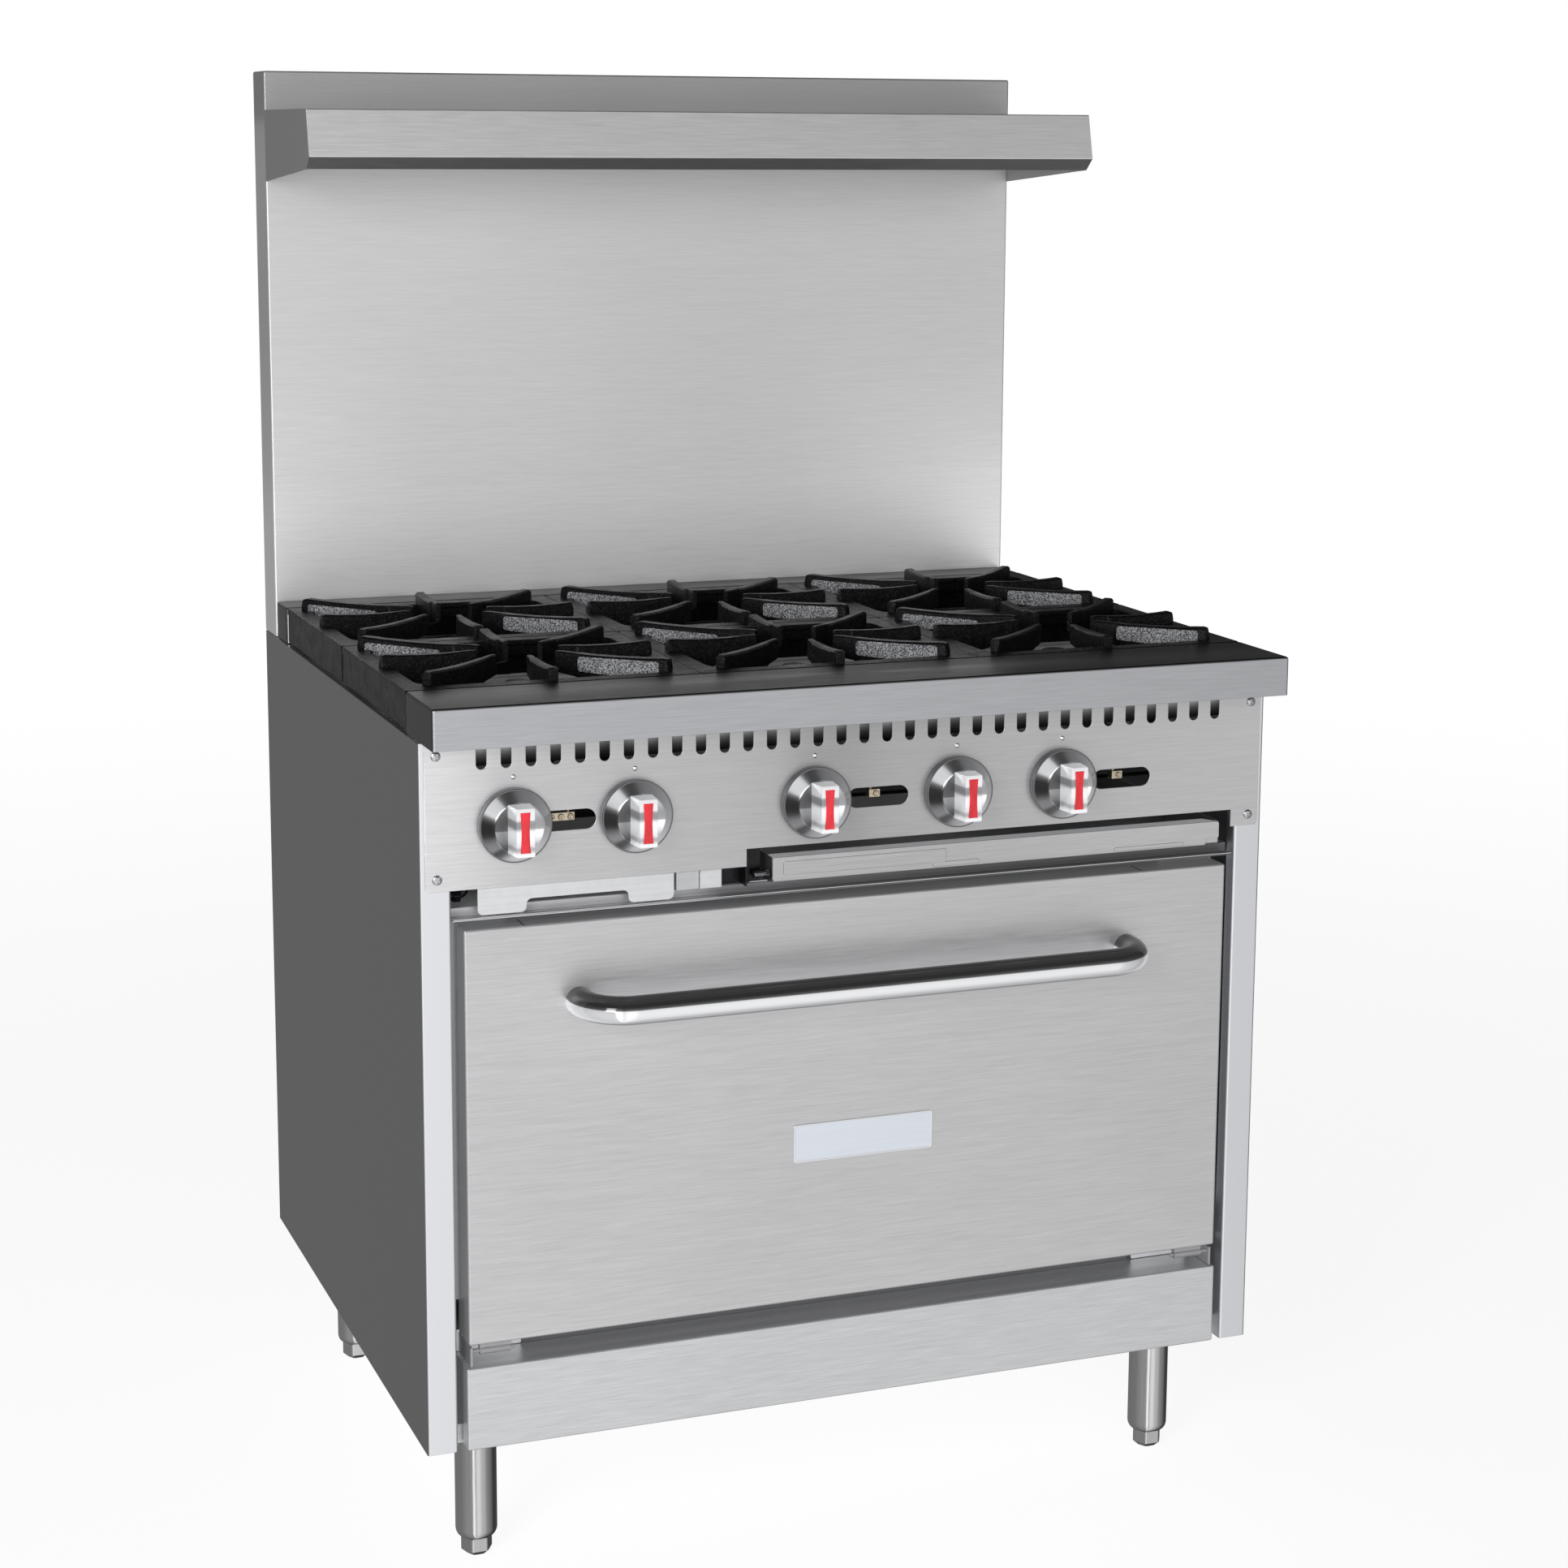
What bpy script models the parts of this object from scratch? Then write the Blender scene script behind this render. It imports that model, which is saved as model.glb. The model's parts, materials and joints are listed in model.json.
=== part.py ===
"""Commercial gas range: six open burners over one oven, with a backguard and a high shelf.

Metres, +Z up, +X to the cook's right, the cook stands at -Y. The origin is on the floor,
under the middle of the whole object. Sheet metal is drawn as a path and given its thickness.
"""
import math

import bmesh
import bpy
from mathutils import Matrix, Vector

# ---------------------------------------------------------------- driving dimensions
BODY_WIDTH = 0.914
BODY_DEPTH = 0.725            # front flanges to the back of the body
HANDLE_REACH = 0.069          # door handle in front of the flanges
OVERALL_HEIGHT = 1.508
BODY_BOTTOM = 0.150
BODY_TOP = 0.868              # top edge of the side panels
COOKTOP = 0.910               # top of the rails and of the grate rims
SHEET = 0.0012
PLATE = 0.0015
GAP = 0.0004                  # play between neighbouring pieces

HALF = BODY_WIDTH / 2
INNER = HALF - SHEET - GAP    # half the width between the side panels
FRONT = -(BODY_DEPTH - HANDLE_REACH) / 2
BACK = FRONT + BODY_DEPTH
FLANGE_WIDTH = 0.031
FLANGE_EDGE = HALF - FLANGE_WIDTH

RAIL_REACH = 0.052            # front rail in front of the flanges, and behind them
RAIL_HALF = 0.4555
RAIL_BOTTOM = BODY_TOP + 0.0015
BACKGUARD_DEPTH = 0.060
BACKGUARD_FRONT = BACK - BACKGUARD_DEPTH
REAR_RAIL_DEPTH = 0.054
LEDGE_HALF, LEDGE_REACH = 0.430, 0.013

GRATE_COLUMNS, GRATE_ROWS = 3, 2
GRATE_FINGER_TOP = 0.923

PANEL_HALF = 0.4515
PANEL_BOTTOM = 0.722
PANEL_CUTOUT = (-0.124, 0.420, 0.740)      # left, right, top
KNOB_X = (-0.3635, -0.2405, -0.052, 0.103, 0.221)
KNOB_Z = 0.7835
KNOB_RADIUS = 0.0365
KNOB_DEPTH = 0.042
SIGHT_SLOT_ENDS = (-0.2805, 0.0497, 0.323)  # right-hand ends of the pilot sight slots
VENT_COUNT, VENT_PITCH, VENT_MIDDLE, VENT_WIDTH = 33, 0.02477, 0.0013, 0.0112

DECK_FRONT, DECK_TOP = 0.693, 0.701        # plate between the oven and the burners
DECK_STEP = 0.036

DOOR_HALF = 0.4145
DOOR_BOTTOM, DOOR_TOP = 0.260, 0.682
DOOR_PROUD, DOOR_SPLIT, DOOR_REAR = 0.003, 0.025, 0.0445
HINGE_DEPTH, HINGE_Z = 0.006, 0.251        # door hinge axis, behind the flanges
HANDLE_RADIUS, HANDLE_HALF, HANDLE_Z, HANDLE_BEND = 0.0143, 0.299, 0.602, 0.042

KICK_HALF = 0.4165
KICK_TOP = 0.2355

OVEN_FRONT, OVEN_REAR = 0.0475, 0.610
OVEN_HALF, OVEN_FLOOR, OVEN_CEILING = 0.3365, 0.290, 0.648
RACK_LEVELS = (0.372, 0.436, 0.500, 0.564)
RACK_Z = RACK_LEVELS[1]

SHELF_TOP, SHELF_LOW, SHELF_LIP, SHELF_ROOT = 1.465, 1.415, 1.402, 1.386
SHELF_REACH_TOP, SHELF_REACH_LOW, SHELF_REACH_LIP = 0.221, 0.233, 0.2175

INLET_PLACE, INLET_RADIUS = (0.405, 0.776), 0.0105    # gas inlet pipe: X and Z, radius

LEG_X, LEG_DEPTHS = 0.386, (0.086, 0.634)
LEG_RADIUS, LEG_BOTTOM = 0.0215, 0.0200

# name: (red, green, blue), metallic, roughness
FINISHES = {
    "brushed_steel": ((0.62, 0.62, 0.63), 1.0, 0.35),
    "side_steel": ((0.12, 0.12, 0.125), 0.8, 0.45),
    "chrome": ((0.80, 0.80, 0.82), 1.0, 0.08),
    "cast_iron": ((0.012, 0.012, 0.013), 0.3, 0.60),
    "enamel": ((0.05, 0.05, 0.055), 0.2, 0.30),
    "aluminised_steel": ((0.45, 0.45, 0.46), 1.0, 0.50),
    "brass": ((0.62, 0.42, 0.16), 1.0, 0.30),
    "plated_steel": ((0.55, 0.55, 0.56), 1.0, 0.30),
}


def behind(distance):
    """World Y of a point this far behind the front flanges."""
    return FRONT + distance


# ---------------------------------------------------------------- modelling helpers
def clear_scene():
    for item in list(bpy.data.objects):
        bpy.data.objects.remove(item, do_unlink=True)


def make_finishes():
    finishes = {}
    for name, (colour, metallic, roughness) in FINISHES.items():
        material = bpy.data.materials.new(name)
        material.use_nodes = True
        shader = material.node_tree.nodes["Principled BSDF"]
        shader.inputs["Base Color"].default_value = (*colour, 1.0)
        shader.inputs["Metallic"].default_value = metallic
        shader.inputs["Roughness"].default_value = roughness
        finishes[name] = material
    return finishes


def add_object(name, shape, finish, pivot=(0, 0, 0), smooth=False):
    """Turn a bmesh drawn in world coordinates into an object whose origin is the pivot."""
    bmesh.ops.recalc_face_normals(shape, faces=shape.faces)
    bmesh.ops.translate(shape, verts=shape.verts, vec=-Vector(pivot))
    mesh = bpy.data.meshes.new(name)
    shape.to_mesh(mesh)
    shape.free()
    if smooth:
        mesh.shade_smooth()
        mesh.set_sharp_from_angle(angle=math.radians(35))
    item = bpy.data.objects.new(name, mesh)
    item.location = pivot
    item.data.materials.append(FINISH[finish])
    bpy.context.scene.collection.objects.link(item)
    return item


def add_box(shape, low, high):
    """Add a closed box between two corners to a bmesh."""
    middle = (Vector(low) + Vector(high)) / 2
    size = Vector(high) - Vector(low)
    matrix = Matrix.Translation(middle) @ Matrix.Diagonal((*size, 1.0))
    bmesh.ops.create_cube(shape, size=1.0, matrix=matrix)


def add_prism(shape, outline, axis, start, end):
    """Add a closed prism: an outline across one axis, drawn out along it."""
    order = {"x": (2, 0, 1), "y": (0, 2, 1), "z": (0, 1, 2)}[axis]
    rings = []
    for level in (start, end):
        ring = []
        for point in outline:
            values = (*point, level)
            ring.append(shape.verts.new([values[index] for index in order]))
        rings.append(ring)
    count = len(outline)
    for index in range(count):
        after = (index + 1) % count
        shape.faces.new((rings[0][index], rings[0][after], rings[1][after], rings[1][index]))
    shape.faces.new(reversed(rings[0]))
    shape.faces.new(rings[1])


def add_turned(shape, profile, axis, centre, segments):
    """Add a turned solid. The profile is (radius, height) pairs and begins and ends on the axis."""
    order = {"x": (2, 0, 1), "y": (0, 2, 1), "z": (0, 1, 2)}[axis]
    rings = []
    for radius, height in profile:
        count = segments if radius > 0 else 1
        ring = []
        for step in range(count):
            angle = 2 * math.pi * step / segments
            values = (radius * math.cos(angle), radius * math.sin(angle), height)
            place = Vector([values[index] for index in order]) + Vector(centre)
            ring.append(shape.verts.new(place))
        rings.append(ring)
    for near, far in zip(rings, rings[1:]):
        for step in range(segments):
            after = (step + 1) % segments
            corners = [near[step % len(near)], near[after % len(near)]]
            corners += [far[after % len(far)], far[step % len(far)]]
            shape.faces.new(list(dict.fromkeys(corners)))


def add_rod(shape, start, end, radius, segments):
    """Add a closed round bar between two points."""
    start, end = Vector(start), Vector(end)
    turn = (end - start).to_track_quat("Z", "Y").to_matrix().to_4x4()
    matrix = Matrix.Translation((start + end) / 2) @ turn
    bmesh.ops.create_cone(shape, cap_ends=True, segments=segments, radius1=radius,
                          radius2=radius, depth=(end - start).length, matrix=matrix)


def arc(centre, radius, first, last, steps):
    """Points on an arc, angles in degrees."""
    points = []
    for step in range(steps + 1):
        angle = math.radians(first + (last - first) * step / steps)
        points.append((centre[0] + radius * math.cos(angle), centre[1] + radius * math.sin(angle)))
    return points


def long_slot(left, right, bottom, top, steps=6):
    """Outline of a slot with round ends, lying along its longer side."""
    if right - left > top - bottom:
        radius = (top - bottom) / 2
        middle = (top + bottom) / 2
        return (arc((right - radius, middle), radius, -90, 90, steps)
                + arc((left + radius, middle), radius, 90, 270, steps))
    radius = (right - left) / 2
    middle = (left + right) / 2
    return (arc((middle, top - radius), radius, 0, 180, steps)
            + arc((middle, bottom + radius), radius, 180, 360, steps))


def bent_sheet(path, thickness):
    """Outline of a folded sheet: a path of its outer face, thickened to the left of its direction."""
    path = [Vector(point) for point in path]
    inner = []
    for index, point in enumerate(path):
        normals = []
        for a, b in ((index - 1, index), (index, index + 1)):
            if a >= 0 and b < len(path):
                way = (path[b] - path[a]).normalized()
                normals.append(Vector((-way.y, way.x)))
        middle = sum(normals, Vector((0, 0))).normalized()
        inner.append(point + middle * thickness / middle.dot(normals[0]))
    return [tuple(point) for point in path] + [tuple(point) for point in reversed(inner)]


def combine(target, others, operation):
    """Boolean the target with other objects, keep the result as its mesh and drop the others."""
    for other in others:
        modifier = target.modifiers.new(operation.lower(), "BOOLEAN")
        modifier.operation = operation
        modifier.solver = "EXACT"
        modifier.object = other
    depsgraph = bpy.context.evaluated_depsgraph_get()
    result = bpy.data.meshes.new_from_object(target.evaluated_get(depsgraph))
    target.modifiers.clear()
    target.data = result
    for other in others:
        bpy.data.objects.remove(other, do_unlink=True)
    return target


def box_object(name, low, high, finish, pivot=(0, 0, 0)):
    shape = bmesh.new()
    add_box(shape, low, high)
    return add_object(name, shape, finish, pivot)


def prism_object(name, outline, axis, start, end, finish, pivot=(0, 0, 0)):
    shape = bmesh.new()
    add_prism(shape, outline, axis, start, end)
    return add_object(name, shape, finish, pivot)


def turned_object(name, profile, axis, centre, segments, finish, pivot=(0, 0, 0)):
    shape = bmesh.new()
    add_turned(shape, profile, axis, centre, segments)
    return add_object(name, shape, finish, pivot, smooth=True)


def open_box(name, low, high, wall, open_side, finish, pivot=(0, 0, 0)):
    """A sheet-metal box with one side left open, such as a pan or a door shell."""
    outer = box_object(name, low, high, finish, pivot)
    inner_low = [value + wall for value in low]
    inner_high = [value - wall for value in high]
    side, direction = open_side
    index = "xyz".index(side)
    if direction < 0:
        inner_low[index] = low[index] - wall
    else:
        inner_high[index] = high[index] + wall
    hollow = box_object(name + "_hollow", inner_low, inner_high, finish)
    return combine(outer, [hollow], "DIFFERENCE")


# ---------------------------------------------------------------- body
def make_side_panel(name, side):
    """Side sheet with a front flange and its return, a rear flange and a ledge along the top."""
    rear_flange = 0.020
    path = [(side * FLANGE_EDGE, behind(0.016)), (side * FLANGE_EDGE, behind(0)),
            (side * HALF, behind(0)), (side * HALF, BACK), (side * (HALF - rear_flange), BACK)]
    if side < 0:
        path.reverse()
    panel = prism_object(name, bent_sheet(path, SHEET), "z", BODY_BOTTOM, BODY_TOP, "side_steel")
    ledge_edges = sorted((side * (HALF - SHEET / 2), side * (HALF - 0.018)))
    ledge = box_object(name + "_ledge", (ledge_edges[0], behind(0.020), BODY_TOP - SHEET),
                       (ledge_edges[1], BACKGUARD_FRONT, BODY_TOP), "side_steel")
    return combine(panel, [ledge], "UNION")


def make_back_panel():
    """Rear sheet between the side panels, with a hole for the gas inlet pipe."""
    y = BACK - SHEET - GAP
    panel = box_object("back_panel", (-INNER, y - SHEET, BODY_BOTTOM + 0.0020),
                       (INNER, y, BODY_TOP), "aluminised_steel")
    clearance = arc(INLET_PLACE, INLET_RADIUS + 0.004, 0, 345, 23)
    hole = prism_object("inlet_hole", clearance, "y", y - 0.01, y + 0.01, "aluminised_steel")
    combine(panel, [hole], "DIFFERENCE")


def make_bottom_pan():
    """Base pan with its front and rear edges turned up."""
    front, rear = behind(0.0205), BACK - 2 * SHEET - 3 * GAP
    path = [(rear, BODY_BOTTOM + 0.020), (rear, BODY_BOTTOM),
            (front, BODY_BOTTOM), (front, BODY_BOTTOM + 0.020)]
    path.reverse()
    prism_object("bottom_pan", bent_sheet(path, SHEET), "x", -INNER, INNER, "aluminised_steel")


def add_grate_ledge(rail, web_inside, web_outside, edge):
    """Fold a rail's grate-side wall down and out into a ledge level with the body's top."""
    web_y = sorted((web_inside, web_outside))
    ledge_y = sorted(((web_inside + web_outside) / 2, edge))
    web = box_object("web", (-LEDGE_HALF, web_y[0], BODY_TOP - PLATE),
                     (LEDGE_HALF, web_y[1], RAIL_BOTTOM + 0.004), "brushed_steel")
    ledge = box_object("ledge", (-LEDGE_HALF, ledge_y[0], BODY_TOP - PLATE),
                       (LEDGE_HALF, ledge_y[1], BODY_TOP), "brushed_steel")
    combine(rail, [web, ledge], "UNION")


def make_front_rail():
    """Bull-nose rail: a folded channel, open below, with a ledge that carries the grates."""
    front, rear = behind(-RAIL_REACH), behind(RAIL_REACH)
    rail = open_box("front_rail", (-RAIL_HALF, front, RAIL_BOTTOM), (RAIL_HALF, rear, COOKTOP),
                    PLATE, ("z", -1), "brushed_steel")
    add_grate_ledge(rail, rear - PLATE, rear, rear + LEDGE_REACH)


def make_rear_rail():
    front, rear = BACKGUARD_FRONT - GAP - REAR_RAIL_DEPTH, BACKGUARD_FRONT - GAP
    rail = open_box("rear_rail", (-RAIL_HALF, front, RAIL_BOTTOM), (RAIL_HALF, rear, COOKTOP),
                    PLATE, ("z", -1), "brushed_steel")
    add_grate_ledge(rail, front + PLATE, front, front - LEDGE_REACH)


def grate_depth():
    start = behind(RAIL_REACH) + GAP
    end = BACKGUARD_FRONT - GAP - REAR_RAIL_DEPTH - GAP
    return start, end


def make_centre_support():
    """Bar across the burner box, under the seam between the two rows of grates."""
    start, end = grate_depth()
    middle = (start + end) / 2
    half = LEDGE_HALF + 0.0075
    box_object("centre_support", (-half, middle - 0.010, BODY_TOP - 0.012),
               (half, middle + 0.010, BODY_TOP), "aluminised_steel")


def make_control_panel():
    """Front sheet with vents, knob holes, pilot sight slots and a cut-out over the crumb tray."""
    left, right, top = PANEL_CUTOUT
    outline = [(-PANEL_HALF, PANEL_BOTTOM), (left, PANEL_BOTTOM), (left, top), (right, top),
               (right, PANEL_BOTTOM), (PANEL_HALF, PANEL_BOTTOM), (PANEL_HALF, BODY_TOP),
               (-PANEL_HALF, BODY_TOP)]
    face, rear = behind(-GAP - PLATE), behind(-GAP)
    panel = prism_object("control_panel", outline, "y", face, rear, "brushed_steel")
    cutters = bmesh.new()
    for index in range(VENT_COUNT):
        x = VENT_MIDDLE + (index - (VENT_COUNT - 1) / 2) * VENT_PITCH
        vent = long_slot(x - VENT_WIDTH / 2, x + VENT_WIDTH / 2, 0.839, 0.864, steps=4)
        add_prism(cutters, vent, "y", face - 0.01, rear + 0.01)
    for x in KNOB_X:
        add_prism(cutters, arc((x, KNOB_Z), 0.007, 0, 330, 11), "y", face - 0.01, rear + 0.01)
    for end in SIGHT_SLOT_ENDS:
        slot = long_slot(end - 0.066, end, KNOB_Z - 0.010, KNOB_Z + 0.010)
        add_prism(cutters, slot, "y", face - 0.01, rear + 0.01)
    cutter = add_object("control_panel_cuts", cutters, "brushed_steel")
    combine(panel, [cutter], "DIFFERENCE")


def make_valve_bracket():
    """Light plate that hangs behind the control panel, notched along its lower edge."""
    bottom, notch, top = 0.6945, 0.7075, 0.7400
    left, right = -0.399, -0.199
    notch_left, notch_right = -0.350, -0.246
    corner = 0.007
    outline = ([(left, top)] + arc((left + corner, bottom + corner), corner, 180, 270, 3)
               + arc((notch_left - corner, bottom + corner), corner, 270, 360, 3)
               + arc((notch_left + corner, notch - corner), corner, 180, 90, 3)
               + arc((notch_right - corner, notch - corner), corner, 90, 0, 3)
               + arc((notch_right + corner, bottom + corner), corner, 180, 270, 3)
               + arc((right - corner, bottom + corner), corner, 270, 360, 3) + [(right, top)])
    prism_object("valve_bracket", outline, "y", behind(GAP), behind(GAP + PLATE),
                 "aluminised_steel")


def make_oven_top_plate():
    """Deck between oven and burners: a low front strip, a step up, then flat to the back."""
    rear = BACK - 0.0050
    path = [(behind(0.0005), DECK_FRONT), (behind(DECK_STEP), DECK_FRONT),
            (behind(DECK_STEP), DECK_TOP), (rear, DECK_TOP)]
    path.reverse()
    prism_object("oven_top_plate", bent_sheet(path, SHEET), "x", -0.4245, 0.4245,
                 "aluminised_steel")


# ---------------------------------------------------------------- oven
def make_oven_wall(name, side):
    """Liner wall with a front flange that the door closes on, and ribs that carry the rack."""
    front, rear = behind(OVEN_FRONT), behind(OVEN_REAR)
    path = [(side * 0.4235, front), (side * OVEN_HALF, front), (side * OVEN_HALF, rear)]
    if side > 0:
        path.reverse()
    outline = bent_sheet(path, -PLATE)
    wall = prism_object(name, outline, "z", OVEN_FLOOR + GAP, OVEN_CEILING - GAP, "enamel")
    ribs = bmesh.new()
    for level in RACK_LEVELS:
        edges = sorted((side * (OVEN_HALF - 0.012), side * (OVEN_HALF + PLATE / 2)))
        add_box(ribs, (edges[0], front + 0.012, level - 0.0060),
                (edges[1], rear - 0.010, level - GAP))
    return combine(wall, [add_object(name + "_ribs", ribs, "enamel")], "UNION")


def make_oven_liner():
    front, rear = behind(OVEN_FRONT), behind(OVEN_REAR)
    for name, side in (("oven_wall_left", -1), ("oven_wall_right", 1)):
        make_oven_wall(name, side)
    ceiling = [(front, DECK_FRONT - SHEET - 0.0012), (front, OVEN_CEILING), (rear, OVEN_CEILING)]
    prism_object("oven_ceiling", bent_sheet(ceiling, PLATE), "x", -0.4235, 0.4235, "enamel")
    floor = [(front, KICK_TOP + 0.0060), (front, OVEN_FLOOR), (rear, OVEN_FLOOR)]
    prism_object("oven_floor", bent_sheet(floor, -PLATE), "x", -0.4235, 0.4235, "enamel")
    box_object("oven_wall_rear", (-OVEN_HALF, rear + GAP, OVEN_FLOOR - PLATE),
               (OVEN_HALF, rear + GAP + PLATE, OVEN_CEILING), "enamel")


def make_oven_rack():
    """Wire rack: a heavier frame under a row of wires, resting on one pair of ribs."""
    front, rear, half = behind(0.140), behind(0.596), OVEN_HALF - 0.004
    frame_radius, wire_radius = 0.0040, 0.0025
    z = RACK_Z + frame_radius
    pivot = (0, front, z)
    frame = bmesh.new()
    add_rod(frame, (-half + 0.004, front, z), (-half + 0.004, rear, z), frame_radius, 8)
    rack = add_object("oven_rack", frame, "chrome", pivot, smooth=True)
    rods = []
    spans = [((half - 0.004, front, z), (half - 0.004, rear, z), frame_radius)]
    for y in (front + 0.006, (front + rear) / 2, rear - 0.006):
        spans.append(((-half + 0.003, y, z), (half - 0.003, y, z), frame_radius - 0.0006))
    wires = 11
    for index in range(wires):
        x = -half + 2 * half * (index + 1) / (wires + 1)
        height = z + frame_radius - wire_radius / 3
        spans.append(((x, front + 0.004, height), (x, rear - 0.004, height), wire_radius))
    for number, (start, end, radius) in enumerate(spans):
        rod = bmesh.new()
        add_rod(rod, start, end, radius, 6 if radius == wire_radius else 8)
        rods.append(add_object(f"rack_rod_{number}", rod, "chrome"))
    combine(rack, rods, "UNION")


def make_oven_burner():
    """Tubular oven burner under the oven floor, with its gas elbow at the front."""
    y0, y1, z, radius = behind(0.110), behind(0.560), 0.205, 0.019
    burner = bmesh.new()
    add_rod(burner, (0, y0, z), (0, y1, z), radius, 12)
    tube = add_object("oven_burner", burner, "cast_iron", smooth=True)
    parts = []
    for number, y in enumerate((y0 + 0.05, y1 - 0.05)):
        low = (-0.006, y - 0.015, BODY_BOTTOM + SHEET + GAP)
        parts.append(box_object(f"burner_foot_{number}", low, (0.006, y + 0.015, z), "cast_iron"))
    combine(tube, parts, "UNION")


def make_oven_thermostat():
    """Oven gas control behind the kick panel: a body with a dial and a pipe stub."""
    x, z = 0.215, 0.193
    body = box_object("oven_thermostat", (x - 0.030, behind(0.045), z - 0.022),
                      (x + 0.030, behind(0.095), z + 0.022), "plated_steel")
    dial, pipe = bmesh.new(), bmesh.new()
    add_rod(dial, (x, behind(0.020), z), (x, behind(0.050), z), 0.018, 20)
    add_rod(pipe, (x - 0.150, behind(0.072), z), (x - 0.020, behind(0.072), z), 0.0070, 10)
    combine(body, [add_object("dial", dial, "plated_steel"),
                   add_object("pipe", pipe, "plated_steel")], "UNION")


# ---------------------------------------------------------------- gas train and burners
def make_gas_manifold():
    """Manifold pipe behind the control panel and the inlet pipe from the back of the range."""
    y, radius = behind(0.062), 0.0135
    x, z = INLET_PLACE
    run = bmesh.new()
    add_rod(run, (-0.415, y, KNOB_Z), (x + radius, y, KNOB_Z), radius, 12)
    pipe = add_object("gas_manifold", run, "plated_steel", smooth=True)
    inlet = bmesh.new()
    add_rod(inlet, (x, y + 0.004, z), (x, BACK - GAP, z), INLET_RADIUS, 12)
    combine(pipe, [add_object("inlet", inlet, "plated_steel")], "UNION")


def make_burner_valve(name, x):
    """Tapered gas valve between the panel and the manifold, bored for the knob's stem."""
    front, rear = behind(0.010), behind(0.0480)
    valve = bmesh.new()
    profile = [(0, 0.010), (0.0048, 0.010), (0.0048, 0), (0.0085, 0), (0.0110, 0.006),
               (0.0110, rear - front), (0, rear - front)]
    add_turned(valve, profile, "y", (x, front, KNOB_Z), 12)
    add_object(name, valve, "brass", smooth=True)


def make_burner(name, x, y, venturi_x):
    """Round cast burner with a venturi tube that runs forward to its valve."""
    tube_z, tube_radius = 0.834, 0.0135
    profile = [(0, 0.888), (0.014, 0.888), (0.020, 0.882), (0.041, 0.880), (0.046, 0.872),
               (0.046, 0.858), (0.030, 0.844), (0.022, 0.818), (0, 0.818)]
    burner = turned_object(name, profile, "z", (x, y, 0), 20, "cast_iron")
    tube = bmesh.new()
    add_rod(tube, (x + venturi_x, behind(0.088), tube_z), (x + venturi_x, y, tube_z),
            tube_radius, 10)
    parts = [add_object(name + "_tube", tube, "cast_iron")]
    if venturi_x:
        neck = bmesh.new()
        add_rod(neck, (x, y, tube_z), (x + venturi_x + 0.008, y, tube_z), tube_radius * 0.8, 10)
        parts.append(add_object(name + "_neck", neck, "cast_iron"))
    combine(burner, parts, "UNION")


# ---------------------------------------------------------------- grates
def finger_outline(length):
    """Side view of a grate finger: (distance from its root, height)."""
    deep, tip_deep, tip_drop = COOKTOP - 0.026, COOKTOP - 0.010, 0.0015
    return [(0, deep), (0.026, deep), (length - 0.022, tip_deep), (length, tip_deep + 0.004),
            (length, GRATE_FINGER_TOP - tip_drop), (length * 0.5, GRATE_FINGER_TOP - 0.002),
            (0.006, GRATE_FINGER_TOP), (0, COOKTOP)]


def make_grate(name, low, high):
    """Cast grate: a rim with a skirt, four side fingers, two long corner fingers and two short."""
    rim, skirt, lug = 0.020, 0.006, 0.0031
    middle = ((low[0] + high[0]) / 2, (low[1] + high[1]) / 2)
    bottom = RAIL_BOTTOM + 0.0020
    pivot = (middle[0], middle[1], COOKTOP)
    grate = box_object(name, (*low, bottom), (*high, COOKTOP), "cast_iron", pivot)
    under = box_object("under", (low[0] + skirt, low[1] + skirt, bottom - 0.01),
                       (high[0] - skirt, high[1] - skirt, COOKTOP - 0.007), "cast_iron")
    corner = 0.030
    inner_low = (low[0] + rim, low[1] + rim)
    inner_high = (high[0] - rim, high[1] - rim)
    window = (arc((inner_high[0] - corner, inner_low[1] + corner), corner, -90, 0, 3)
              + arc((inner_high[0] - corner, inner_high[1] - corner), corner, 0, 90, 3)
              + arc((inner_low[0] + corner, inner_high[1] - corner), corner, 90, 180, 3)
              + arc((inner_low[0] + corner, inner_low[1] + corner), corner, 180, 270, 3))
    hole = prism_object("hole", window, "z", bottom - 0.01, COOKTOP + 0.01, "cast_iron")
    combine(grate, [under, hole], "DIFFERENCE")

    half_x, half_y = (high[0] - low[0]) / 2, (high[1] - low[1]) / 2
    opening, thick, root = 0.045, 0.0045, 0.006
    long_corner, short_corner = 0.022, 0.037       # diagonal roots, in from the rim's corner
    fingers = []
    for number in range(8):
        angle = number * math.pi / 4
        diagonal = number % 2
        if diagonal:
            angle = math.atan2(math.copysign(half_y, math.sin(angle)),
                               math.copysign(half_x, math.cos(angle)))
            start = math.hypot(half_x, half_y) - (short_corner if number % 4 == 1 else long_corner)
        else:
            start = (half_x if number % 4 == 0 else half_y) - root
        finger = bmesh.new()
        outline = [(start - along, up) for along, up in finger_outline(start - opening)]
        add_prism(finger, outline, "y", -thick, thick)
        turn = Matrix.Translation((middle[0], middle[1], 0)) @ Matrix.Rotation(angle, 4, "Z")
        bmesh.ops.transform(finger, matrix=turn, verts=finger.verts)
        fingers.append(add_object(f"finger_{number}", finger, "cast_iron"))
    for x in (low[0] + 0.020, high[0] - 0.020):
        for y in (low[1] + 0.0002, high[1] - skirt - 0.0002):
            fingers.append(box_object("lug", (x - 0.010, y, bottom - lug),
                                      (x + 0.010, y + skirt, bottom + 0.004), "cast_iron"))
    combine(grate, fingers, "UNION")


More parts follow.
